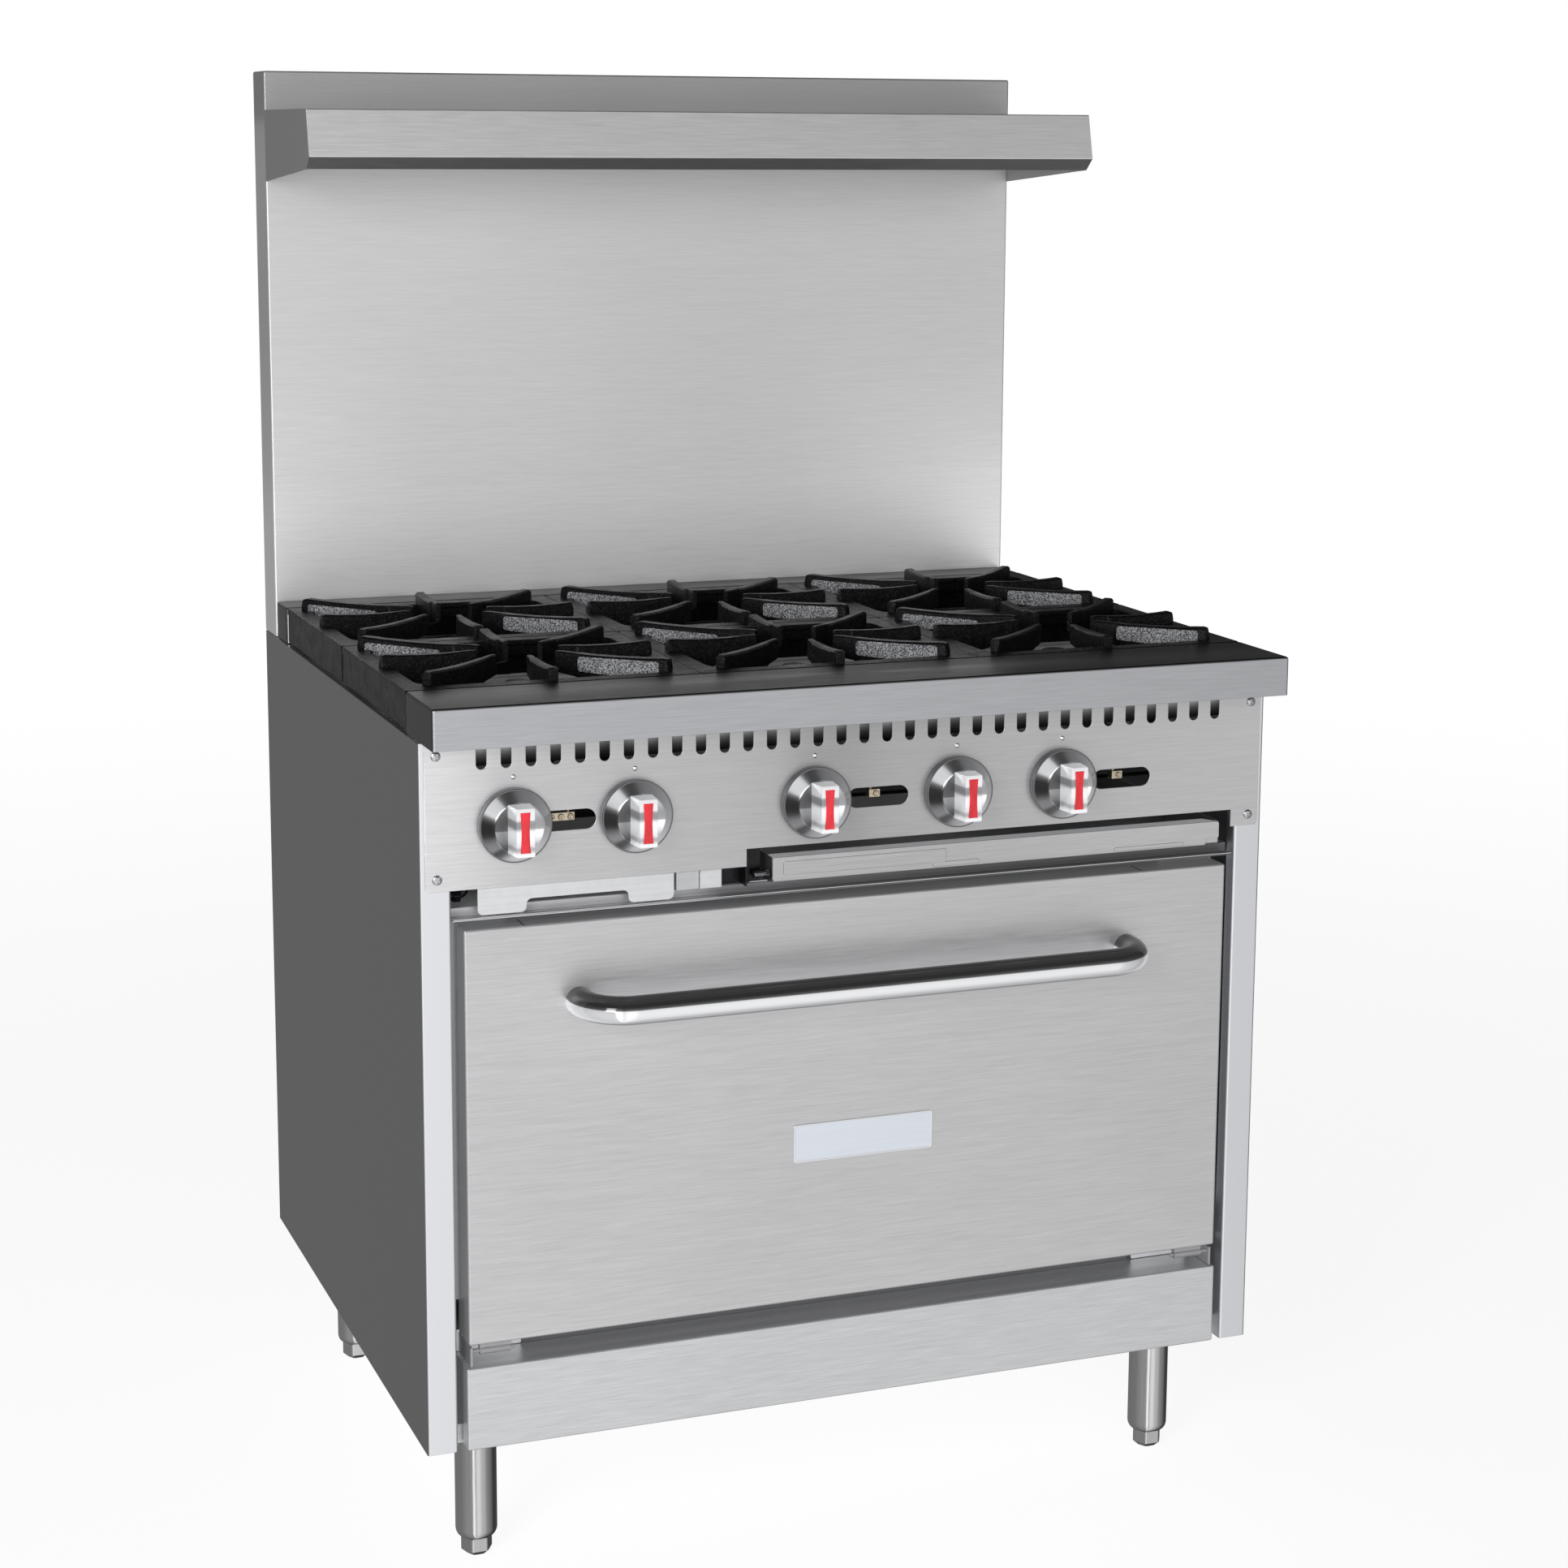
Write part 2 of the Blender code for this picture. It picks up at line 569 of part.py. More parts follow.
def make_cooktop():
    start, end = grate_depth()
    width = 2 * RAIL_HALF / GRATE_COLUMNS
    depth = (end - start) / GRATE_ROWS
    number = 0
    for row in range(GRATE_ROWS):
        for column in range(GRATE_COLUMNS):
            number += 1
            low = (-RAIL_HALF + column * width + GAP, start + row * depth + GAP)
            high = (low[0] + width - 2 * GAP, low[1] + depth - 2 * GAP)
            make_grate(f"grate_{number}", low, high)
            middle = ((low[0] + high[0]) / 2, (low[1] + high[1]) / 2)
            make_burner(f"burner_{number}", *middle, venturi_x=0.064 if row else 0.0)


# ---------------------------------------------------------------- controls
def make_knob(name, x):
    """Round knob with a conical skirt, a flat face, an upright grip bar and its stem."""
    base = behind(-GAP - PLATE - 0.0006)
    rim_depth, face_depth, face_radius = 0.0055, 0.020, 0.0262
    pivot = (x, base, KNOB_Z)
    stem_end = behind(0.0170) - base
    profile = [(0, stem_end), (0.0040, stem_end), (0.0040, 0), (KNOB_RADIUS, 0),
               (KNOB_RADIUS, -rim_depth), (face_radius, -face_depth), (0, -face_depth)]
    knob = turned_object(name, profile, "y", (x, base, KNOB_Z), 28, "chrome", pivot)
    grip_half, grip_reach, flare = 0.0096, 0.0240, 0.0010
    root, front = base - face_depth + 0.002, base - KNOB_DEPTH
    grip = bmesh.new()
    corners = []
    for y, spread in ((root, flare), (front, 0)):
        for side_x, side_z in ((-1, -1), (1, -1), (1, 1), (-1, 1)):
            place = (x + side_x * (grip_half + spread), y, KNOB_Z + side_z * (grip_reach + spread))
            corners.append(grip.verts.new(place))
    for index in range(4):
        after = (index + 1) % 4
        grip.faces.new((corners[index], corners[after], corners[4 + after], corners[4 + index]))
    grip.faces.new(corners[:4])
    grip.faces.new(corners[4:])
    combine(knob, [add_object("grip", grip, "chrome")], "UNION")


def make_crumb_tray():
    """Shallow tray that lies on the deck, with a flange along its front edge to pull it by."""
    left, right = -0.092, 0.414
    front, rear = behind(0.0112), behind(0.600)
    bottom, top = DECK_TOP + 0.0003, DECK_TOP + 0.0245
    pivot = ((left + right) / 2, front, bottom)
    tray = open_box("crumb_tray", (left, front - SHEET, bottom), (right, rear, top), SHEET,
                    ("z", 1), "brushed_steel", pivot)
    flange = box_object("tray_flange", (left, front - SHEET, top - SHEET), (right, front + 0.0175, top),
                        "brushed_steel")
    combine(tray, [flange], "UNION")


def make_kick_panel():
    """Pull-off panel below the door, a folded sheet."""
    face = behind(-0.002)
    path = [(behind(0.045), KICK_TOP), (face, KICK_TOP), (face, BODY_BOTTOM),
            (behind(0.016), BODY_BOTTOM)]
    prism_object("kick_panel", bent_sheet(path, SHEET), "x", -KICK_HALF, KICK_HALF,
                 "brushed_steel", (0, face, BODY_BOTTOM))


# ---------------------------------------------------------------- door
def make_door():
    pivot = (0, behind(HINGE_DEPTH), HINGE_Z)
    open_box("door_shell", (-DOOR_HALF, behind(-DOOR_PROUD), DOOR_BOTTOM),
             (DOOR_HALF, behind(DOOR_SPLIT), DOOR_TOP), PLATE, ("y", 1), "brushed_steel", pivot)
    liner = open_box("door_liner", (-DOOR_HALF, behind(DOOR_SPLIT + GAP), DOOR_BOTTOM),
                     (DOOR_HALF, behind(0.0360), DOOR_TOP), PLATE, ("y", -1), "enamel", pivot)
    plug = box_object("plug", (-OVEN_HALF + 0.006, behind(0.0355), OVEN_FLOOR + 0.006),
                      (OVEN_HALF - 0.006, behind(DOOR_REAR), OVEN_CEILING - 0.006), "enamel")
    combine(liner, [plug], "UNION")
    make_door_handle(pivot)
    for name, side in (("left", -1), ("right", 1)):
        make_door_hinge(name, side, pivot)


def make_door_handle(pivot):
    """Round bar bent back into the door at both ends."""
    reach = behind(-(HANDLE_REACH - HANDLE_RADIUS))
    root = behind(-DOOR_PROUD - 0.0003)
    straight = HANDLE_HALF - HANDLE_BEND
    left = [(x, y) for x, y in arc((-straight, reach + HANDLE_BEND), HANDLE_BEND, 180, 270, 7)]
    right = [(-x, y) for x, y in reversed(left)]
    path = [(-HANDLE_HALF, root)] + left + right + [(HANDLE_HALF, root)]
    segments = 16
    bar = bmesh.new()
    rings = []
    for index, (x, y) in enumerate(path):
        before = path[max(index - 1, 0)]
        after = path[min(index + 1, len(path) - 1)]
        way = Vector((after[0] - before[0], after[1] - before[1], 0)).normalized()
        side = Vector((-way.y, way.x, 0))
        ring = []
        for step in range(segments):
            angle = 2 * math.pi * step / segments
            offset = side * math.cos(angle) + Vector((0, 0, math.sin(angle)))
            ring.append(bar.verts.new(Vector((x, y, HANDLE_Z)) + offset * HANDLE_RADIUS))
        rings.append(ring)
    for near, far in zip(rings, rings[1:]):
        for step in range(segments):
            after = (step + 1) % segments
            bar.faces.new((near[step], near[after], far[after], far[step]))
    bar.faces.new(rings[0])
    bar.faces.new(rings[-1])
    add_object("door_handle", bar, "chrome", pivot, smooth=True)


def make_door_hinge(name, side, pivot):
    """Door side: a leaf under the door with a barrel. Body side: a pin on a bracket."""
    y, inner, outer = behind(HINGE_DEPTH), 0.370, 0.402
    low_x, high_x = sorted((side * inner, side * outer))
    barrel = bmesh.new()
    profile = [(0.0027, low_x), (0.0027, high_x), (0.0042, high_x), (0.0042, low_x)]
    rings = []
    for radius, x in profile:
        ring = []
        for step in range(16):
            angle = 2 * math.pi * step / 16
            place = (x, y + radius * math.cos(angle), HINGE_Z + radius * math.sin(angle))
            ring.append(barrel.verts.new(place))
        rings.append(ring)
    for near, far in zip(rings, rings[1:] + rings[:1]):
        for step in range(16):
            after = (step + 1) % 16
            barrel.faces.new((near[step], near[after], far[after], far[step]))
    hinge = add_object(f"door_hinge_{name}", barrel, "plated_steel", pivot, smooth=True)
    leaf = box_object("leaf", (low_x, y - 0.0030, HINGE_Z + 0.0034),
                      (high_x, behind(0.030), DOOR_BOTTOM - GAP), "plated_steel")
    combine(hinge, [leaf], "UNION")

    plate_x = sorted((side * (outer + 0.0080), side * (outer + 0.0105)))
    bracket = box_object(f"hinge_pin_{name}", (plate_x[0], behind(0.0005), KICK_TOP + 0.0010),
                         (plate_x[1], behind(0.0460), HINGE_Z + 0.0050), "plated_steel")
    pin = bmesh.new()
    add_rod(pin, (side * (inner - 0.004), y, HINGE_Z), (side * (outer + 0.0095), y, HINGE_Z),
            0.0022, 12)
    combine(bracket, [add_object("pin", pin, "plated_steel")], "UNION")


# ---------------------------------------------------------------- backguard and shelf
def make_backguard():
    """Flue riser: a hollow upright box, open below, with outlet slots along its top."""
    low = (-HALF, BACKGUARD_FRONT, RAIL_BOTTOM)
    guard = open_box("backguard", low, (HALF, BACK, OVERALL_HEIGHT), SHEET, ("z", -1),
                     "brushed_steel")
    cutters = bmesh.new()
    slots = 6
    for index in range(slots):
        x = (index - (slots - 1) / 2) * 0.140
        middle = (BACKGUARD_FRONT + BACK) / 2
        slot = long_slot(x - 0.055, x + 0.055, middle - 0.010, middle + 0.010, steps=4)
        add_prism(cutters, slot, "z", OVERALL_HEIGHT - 0.01, OVERALL_HEIGHT + 0.01)
    combine(guard, [add_object("outlets", cutters, "brushed_steel")], "DIFFERENCE")


def make_high_shelf():
    """Folded shelf: flat top, slanted front, return lip, and a gusset at each end."""
    root = BACKGUARD_FRONT - GAP
    top = (BACKGUARD_FRONT - SHELF_REACH_TOP, SHELF_TOP)
    low = (BACKGUARD_FRONT - SHELF_REACH_LOW, SHELF_LOW)
    lip = (BACKGUARD_FRONT - SHELF_REACH_LIP, SHELF_LIP)
    path = [(root, SHELF_TOP), top, low, lip]
    shelf = prism_object("high_shelf", bent_sheet(path, SHEET), "x", -HALF + SHEET / 2,
                         HALF - SHEET / 2, "brushed_steel")
    gusset = [(root, SHELF_TOP), top, low, lip, (root, SHELF_ROOT)]
    ends = []
    for side in (-1, 1):
        edges = sorted((side * HALF, side * (HALF - SHEET)))
        ends.append(prism_object("gusset", gusset, "x", *edges, "brushed_steel"))
    combine(shelf, ends, "UNION")


# ---------------------------------------------------------------- legs
def make_leg(number, x, y):
    """Round leg with a rounded lower end, and an adjustable foot that screws into it."""
    top = BODY_BOTTOM - 0.0004
    bore, bore_top = 0.0108, 0.066
    profile = [(0, top), (LEG_RADIUS, top), (LEG_RADIUS, 0.030), (LEG_RADIUS - 0.0015, 0.0245),
               (LEG_RADIUS - 0.0050, LEG_BOTTOM), (bore, LEG_BOTTOM), (bore, bore_top), (0, bore_top)]
    turned_object(f"leg_{number}", profile, "z", (x, y, 0), 20, "brushed_steel")
    foot_radius = 0.0170
    foot_top = LEG_BOTTOM - 0.0005
    foot = [(0, 0), (foot_radius - 0.0040, 0), (foot_radius, 0.0060), (foot_radius, foot_top),
            (0.0098, foot_top), (0.0098, 0.058), (0, 0.058)]
    shape = bmesh.new()
    add_turned(shape, foot, "z", (x, y, 0), 6)
    add_object(f"foot_{number}", shape, "plated_steel", (x, y, foot_top))


def make_legs():
    number = 0
    for depth in LEG_DEPTHS:
        for side in (-1, 1):
            number += 1
            make_leg(number, side * LEG_X, behind(depth))


# ---------------------------------------------------------------- assembly
clear_scene()
FINISH = make_finishes()

make_side_panel("side_panel_left", -1)
make_side_panel("side_panel_right", 1)
make_back_panel()
make_bottom_pan()
make_front_rail()
make_rear_rail()
make_centre_support()
make_control_panel()
make_valve_bracket()
make_oven_top_plate()
make_oven_liner()
make_oven_rack()
make_oven_burner()
make_oven_thermostat()
make_gas_manifold()
make_cooktop()
for knob_number, knob_x in enumerate(KNOB_X, start=1):
    make_burner_valve(f"burner_valve_{knob_number}", knob_x)
    make_knob(f"knob_{knob_number}", knob_x)
make_crumb_tray()
make_kick_panel()
make_door()
make_backguard()
make_high_shelf()
make_legs()
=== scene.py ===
"""Looks of the commercial gas range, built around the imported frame.

Metres, +Z up, +X to the cook's right, the cook stands at -Y, as in the frame.
"""

import json
import math

import bmesh
import bpy
from mathutils import Matrix, Vector

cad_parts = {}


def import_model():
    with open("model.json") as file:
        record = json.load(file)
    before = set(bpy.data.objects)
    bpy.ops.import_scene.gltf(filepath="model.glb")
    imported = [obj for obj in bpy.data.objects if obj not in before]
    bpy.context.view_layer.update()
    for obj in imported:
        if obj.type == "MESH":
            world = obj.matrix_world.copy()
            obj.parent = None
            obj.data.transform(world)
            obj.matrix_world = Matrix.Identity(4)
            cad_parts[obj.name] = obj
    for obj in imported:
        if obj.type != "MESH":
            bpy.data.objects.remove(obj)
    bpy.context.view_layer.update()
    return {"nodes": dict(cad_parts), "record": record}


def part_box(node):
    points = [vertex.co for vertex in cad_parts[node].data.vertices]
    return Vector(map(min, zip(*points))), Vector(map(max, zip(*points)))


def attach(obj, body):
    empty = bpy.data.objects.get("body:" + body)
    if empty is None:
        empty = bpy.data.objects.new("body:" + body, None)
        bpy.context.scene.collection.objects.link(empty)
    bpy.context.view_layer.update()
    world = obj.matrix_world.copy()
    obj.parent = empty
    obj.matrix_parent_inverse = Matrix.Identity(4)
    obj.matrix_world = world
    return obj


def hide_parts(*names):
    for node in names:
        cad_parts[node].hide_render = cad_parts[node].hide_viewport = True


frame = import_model()

SHEET, PLATE = 0.0012, 0.0015
FOLD = 0.0024                       # outside radius of a sheet fold
EDGE = 0.0003                       # rounding of a cut edge

PANEL_LOW, PANEL_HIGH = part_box("control_panel")
PANEL_FACE = PANEL_LOW.y
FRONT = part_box("side_panel_left")[0].y
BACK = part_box("side_panel_left")[1].y
BODY_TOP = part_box("side_panel_left")[1].z
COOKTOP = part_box("front_rail")[1].z
KNOBS = [name for name in sorted(frame["nodes"]) if name.startswith("knob_")]
GRATES = [name for name in sorted(frame["nodes"]) if name.startswith("grate_")]
KNOB_Z = sum(point.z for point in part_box("knob_1")) / 2
SIGHT_ENDS = (-0.2805, 0.0497, 0.323)       # right-hand ends of the pilot sight slots


# ---------------------------------------------------------------- materials
GLOW = (0.97, 0.98, 1.0)                    # colour of the painted light that finishes give off
# How fine the brushing is along X, Y and Z, in cells per metre, by the axis it runs along.
GRAIN = {"x": (24.0, 760.0, 760.0), "y": (760.0, 24.0, 760.0), "z": (760.0, 760.0, 24.0)}


class Nodes:
    """A node tree under construction."""

    def __init__(self, tree):
        self.tree = tree

    def add(self, kind, **settings):
        node = self.tree.nodes.new("ShaderNode" + kind)
        for key, value in settings.items():
            setattr(node, key, value)
        return node

    def join(self, source, target):
        self.tree.links.new(source, target)

    def spread(self, source, low, high, start=0.3, end=0.7, **settings):
        """Map start to end, a texture's middle range if not given, onto low to high."""
        node = self.add("MapRange", **settings)
        for socket, value in (("From Min", start), ("From Max", end), ("To Min", low), ("To Max", high)):
            node.inputs[socket].default_value = value
        self.join(source, node.inputs["Value"])
        return node.outputs["Result"]

    def axis(self, vector, axis):
        """One axis of a vector."""
        split = self.add("SeparateXYZ")
        self.join(vector, split.inputs["Vector"])
        return split.outputs["XYZ".index(axis)]

    def shader_node(self, kind, **sockets):
        """The output of a new shader with these sockets set."""
        node = self.add(kind)
        for socket, value in sockets.items():
            node.inputs[socket].default_value = value
        return node.outputs[0]

    def combine(self, kind, *sources, **settings):
        """A new node whose first inputs are joined to the sources."""
        node = self.add(kind, **settings)
        for source, target in zip(sources, node.inputs):
            self.join(source, target)
        return node

    def count(self, operation, *sources):
        """The result of a sum on one or two sources."""
        return self.combine("Math", *sources, operation=operation).outputs[0]

    def times(self, first, second):
        return self.count("MULTIPLY", first, second)

    def bearing(self, first, second):
        """The angle of a point in degrees, -180 to 180, from its two places."""
        return self.count("DEGREES", self.count("ARCTAN2", first, second))


class Finish(Nodes):
    """A piece's material: the shader, and textures in the piece's own metres."""

    def __init__(self, name, colour, metallic=1.0, roughness=0.35, **sockets):
        self.material = bpy.data.materials.new(name)
        self.material.use_nodes = True
        super().__init__(self.material.node_tree)
        self.shader = self.tree.nodes["Principled BSDF"]
        self.colour = colour
        self.shader.inputs["Base Color"].default_value = (*colour, 1.0)
        self.shader.inputs["Metallic"].default_value = metallic
        self.shader.inputs["Roughness"].default_value = roughness
        for socket, value in sockets.items():
            self.shader.inputs[socket.replace("_", " ")].default_value = value
        self.place = self.add("TexCoord")

    def noise(self, scale, detail=3.0, rough=0.55):
        """Noise whose cells per metre along X, Y and Z are the three scales."""
        if not hasattr(scale, "__len__"):
            scale = (scale, scale, scale)
        mapping = self.add("Mapping")
        mapping.inputs["Scale"].default_value = scale
        self.join(self.place.outputs["Object"], mapping.inputs["Vector"])
        texture = self.add("TexNoise")
        texture.inputs["Scale"].default_value = 1.0
        texture.inputs["Detail"].default_value = detail
        texture.inputs["Roughness"].default_value = rough
        self.join(mapping.outputs["Vector"], texture.inputs["Vector"])
        return texture.outputs["Fac"]

    def curve(self, source, stops):
        """A value that follows another, from (place, value) pairs; values go up to 1."""
        first, last = stops[0][0], stops[-1][0]
        node = self.add("FloatCurve")
        self.join(self.spread(source, 0.0, 1.0, first, last), node.inputs["Value"])
        curve = node.mapping.curves[0]
        while len(curve.points) < len(stops):
            curve.points.new(0.5, 0.5)
        for point, (place, value) in zip(curve.points, stops):
            point.location = ((place - first) / (last - first), value)
        node.mapping.update()
        return node.outputs["Value"]

    def turned(self, axis):
        """How far the surface turns towards +axis, from -1 to 1."""
        return self.axis(self.place.outputs["Normal"], axis)

    def along(self, axis, stops, space="Object"):
        """A value that follows the place along one axis."""
        return self.curve(self.axis(self.place.outputs[space], axis), stops)

    def around(self, stops):
        """A value that follows the angle round the piece's middle, seen from the front:
        0 is right, 90 is up."""
        centre = self.add("VectorMath", operation="SUBTRACT")
        self.join(self.place.outputs["Generated"], centre.inputs[0])
        centre.inputs[1].default_value = (0.5, 0.5, 0.5)
        place = centre.outputs["Vector"]
        return self.curve(self.bearing(self.axis(place, "Z"), self.axis(place, "X")), stops)

    def scaled(self, colour, factor, socket):
        """Drive a colour socket with a colour multiplied by a value."""
        node = self.add("VectorMath", operation="SCALE")
        node.inputs[0].default_value = colour
        self.join(factor, node.inputs["Scale"])
        self.join(node.outputs["Vector"], self.shader.inputs[socket])

    def shade(self, factor):
        self.scaled(self.colour, factor, "Base Color")

    def paint(self, tone, glow=0.42):
        """Painted reflection: a tone that stands in for what polished metal mirrors; base colour and glow
        follow it.
        """
        self.shade(tone)
        self.scaled(GLOW, tone, "Emission Color")
        self.shader.inputs["Emission Strength"].default_value = glow

    def fill(self, strength):
        """Painted light: a trace of glow that stands in for the light that bounces about inside the narrow
        gaps between sheets.
        """
        self.shader.inputs["Emission Color"].default_value = (*GLOW, 1.0)
        self.shader.inputs["Emission Strength"].default_value = strength

    def blend_colours(self, factor, first, second):
        node = self.add("Mix", data_type="RGBA")
        node.inputs["A"].default_value = (*first, 1.0)
        node.inputs["B"].default_value = (*second, 1.0)
        self.join(factor, node.inputs["Factor"])
        self.join(node.outputs["Result"], self.shader.inputs["Base Color"])

    def rough(self, source, low, high):
        self.join(self.spread(source, low, high), self.shader.inputs["Roughness"])

    def bump(self, source, distance, strength=1.0):
        node = self.add("Bump")
        node.inputs["Distance"].default_value = distance
        node.inputs["Strength"].default_value = strength
        self.join(source, node.inputs["Height"])
        self.join(node.outputs["Normal"], self.shader.inputs["Normal"])


def brushed(name, colour, roughness=0.33, grain="x", top=1.0, end=1.0, under=1.0, contrast=0.09,
            metallic=0.72, stretch=0.5, fill=0.045, along=(), sheen=0.5):
    """Brushed sheet steel. top, end and under are painted shade on what faces up, sideways and down.
    along holds axes, each with the (place, tone) pairs of painted light and shade along it."""
    finish = Finish(name, colour, metallic, roughness, Specular_IOR_Level=sheen)
    streaks = finish.noise(GRAIN[grain], 3.0, 0.6)
    bands = finish.noise([value * 0.3 for value in GRAIN[grain]], 2.0)
    clouds = finish.noise(3.0, 2.0)
    tone = finish.times(finish.spread(streaks, 1 - contrast, 1 + contrast),
                        finish.spread(bands, 0.98, 1.02))
    tone = finish.times(tone, finish.spread(clouds, 0.975, 1.025))
    # Painted shade: faces that look up, sideways or down are dimmed.
    if top != 1.0:
        tone = finish.times(tone, finish.spread(finish.turned("Z"), 1.0, top, 0.3, 0.8))
    if end != 1.0:
        sideways = finish.count("ABSOLUTE", finish.turned("X"))
        tone = finish.times(tone, finish.spread(sideways, 1.0, end, 0.4, 0.9))
    if under != 1.0:
        tone = finish.times(tone, finish.spread(finish.turned("Z"), under, 1.0, -0.7, -0.3))
    # Painted light and shade along the given axes.
    for axis, stops in along:
        tone = finish.times(tone, finish.along(axis, stops))
    finish.shade(tone)
    # Painted light: a trace of glow.
    finish.fill(fill)
    finish.rough(streaks, roughness - 0.05, roughness + 0.06)
    finish.bump(streaks, 0.00003)
    tangent = finish.add("Tangent", direction_type="RADIAL", axis="Z")
    finish.join(tangent.outputs["Tangent"], finish.shader.inputs["Tangent"])
    finish.shader.inputs["Anisotropic"].default_value = stretch
    finish.shader.inputs["Anisotropic Rotation"].default_value = 0.25
    return finish.material


def side_sheet(name):
    """Satin sheet with painted reflection: pale where it faces the front or the inside and dark on the
    outside.
    """
    pale, dark = (0.84, 0.85, 0.88), (0.36, 0.36, 0.37)
    finish = Finish(name, pale, 1.0, 0.38)
    # Painted reflection: faces that turn outwards take the dark tone.
    across = finish.axis(finish.place.outputs["Object"], "X")
    outside = finish.times(across, finish.turned("X"))
    finish.blend_colours(finish.spread(outside, 0.0, 1.0, 0.10, 0.30), pale, dark)
    streaks = finish.noise(GRAIN["y"], 4.0, 0.65)
    finish.rough(streaks, 0.34, 0.42)
    finish.bump(streaks, 0.00003)
    return finish.material


def chrome(name, colour=(0.86, 0.86, 0.88), roughness=0.07):
    finish = Finish(name, colour, 1.0, roughness)
    smudges = finish.noise(40.0, 3.0)
    finish.rough(smudges, roughness * 0.7, roughness * 1.5)
    finish.shade(finish.spread(finish.noise(9.0), 0.97, 1.03))
    return finish.material


def handle_bar(name):
    """Painted reflection on a polished tube: dark above, bright from the middle down, and a grey lower rim.
    """
    finish = Finish(name, (0.60, 0.60, 0.61), 0.8, 0.12)
    tone = finish.curve(finish.turned("Z"), (
        (-1.0, 0.28), (-0.84, 0.30), (-0.70, 0.60), (-0.60, 1.0), (0.10, 1.0), (0.20, 0.85),
        (0.28, 0.12), (0.50, 0.06), (0.80, 0.10), (1.0, 0.06)))
    finish.paint(tone, 0.30)
    finish.rough(finish.noise((12.0, 90.0, 90.0)), 0.09, 0.15)
    return finish.material


def knob_cone(name):
    """Polished cone with painted reflection: the light and shade that run round it."""
    finish = Finish(name, (0.62, 0.62, 0.63), 0.8, 0.16)
    tone = finish.around(((-180, 0.03), (-170, 0.04), (-158, 0.16), (-140, 0.28), (-128, 0.10),
                          (-112, 0.34), (-90, 0.58), (-60, 0.62), (-30, 0.50), (0, 0.38), (40, 0.32),
                          (70, 0.27), (88, 0.20), (108, 0.08), (122, 0.34), (134, 1.0), (146, 1.0),
                          (157, 0.42), (170, 0.04), (180, 0.03)))
    finish.paint(tone, 0.50)
    finish.rough(finish.noise(90.0), 0.13, 0.19)
    return finish.material


def knob_face(name):
    """Polished flat face with painted reflection: dark above the horizon and bright below, more so on the
    right.
    """
    finish = Finish(name, (0.62, 0.62, 0.64), 0.8, 0.18)
    up = finish.along("Z", ((0.0, 0.10), (0.12, 0.30), (0.30, 0.85), (0.42, 1.0), (0.452, 1.0),
                            (0.475, 0.42), (0.60, 0.34), (0.80, 0.50), (1.0, 0.70)), "Generated")
    across = finish.along("X", ((0.0, 0.34), (0.30, 0.22), (0.46, 0.30), (0.60, 0.98), (1.0, 1.0)),
                          "Generated")
    finish.paint(finish.times(up, across), 0.55)
    finish.rough(finish.noise(90.0), 0.15, 0.21)
    return finish.material


def knob_grip(name):
    """The bar that the cook turns, with painted reflection: bright below and above, duller in between."""
    finish = Finish(name, (0.66, 0.66, 0.68), 0.8, 0.18)
    up = finish.along("Z", ((0.0, 0.60), (0.05, 1.0), (0.16, 0.50), (0.24, 0.85), (0.50, 1.0),
                            (0.62, 0.34), (0.72, 0.38), (0.78, 0.90), (1.0, 0.80)), "Generated")
    finish.paint(up, 0.42)
    finish.rough(finish.noise(90.0), 0.15, 0.21)
    return finish.material


def vent_sheet(name):
    """Sheet behind the vents with painted light and shade: lit from above and black lower down."""
    finish = Finish(name, (0.5, 0.5, 0.5), 0.3, 0.5)
    tone = finish.along("Z", ((0.838, 0.01), (0.845, 0.03), (0.852, 0.16), (0.860, 0.62), (0.868, 1.0)))
    finish.paint(finish.times(tone, finish.spread(finish.noise((26.0, 3.0, 3.0), 1.0), 0.35, 1.0)), 0.40)
    return finish.material


def cast_iron(name):
    """Black casting with a fine sand grain."""
    finish = Finish(name, (0.012, 0.012, 0.013), 0.0, 0.40, Specular_IOR_Level=0.17)
    grain = finish.noise(520.0, 2.0, 0.6)
    finish.blend_colours(finish.spread(grain, 0.0, 1.0, 0.50, 0.70),
                         (0.005, 0.005, 0.006), (0.028, 0.028, 0.031))
    finish.rough(finish.noise(60.0), 0.24, 0.40)
    finish.bump(grain, 0.0010, 0.7)
    return finish.material


def iron_painted_highlight(name):
    """Painted highlight: pale grey grain on the sides of the long grate fingers, where light catches them.
    """
    finish = Finish(name, (0.2, 0.2, 0.2), 0.0, 0.5, Specular_IOR_Level=0.6)
    grain = finish.noise(620.0, 2.0, 0.7)
    finish.blend_colours(finish.spread(grain, 0.0, 1.0, 0.42, 0.62),
                         (0.035, 0.035, 0.038), (0.62, 0.63, 0.66))
    finish.rough(grain, 0.40, 0.60)
    finish.bump(grain, 0.0012, 0.8)
    return finish.material


def enamel(name):
    finish = Finish(name, (0.040, 0.041, 0.045), 0.0, 0.25, Coat_Weight=0.3, Coat_Roughness=0.1)
    flecks = finish.spread(finish.noise(700.0, 1.0), 0.0, 1.0, 0.66, 0.72)
    finish.blend_colours(flecks, (0.035, 0.036, 0.040), (0.30, 0.30, 0.32))
    finish.rough(finish.noise(30.0), 0.20, 0.34)
    finish.bump(finish.noise(90.0, 2.0), 0.0001)
    return finish.material


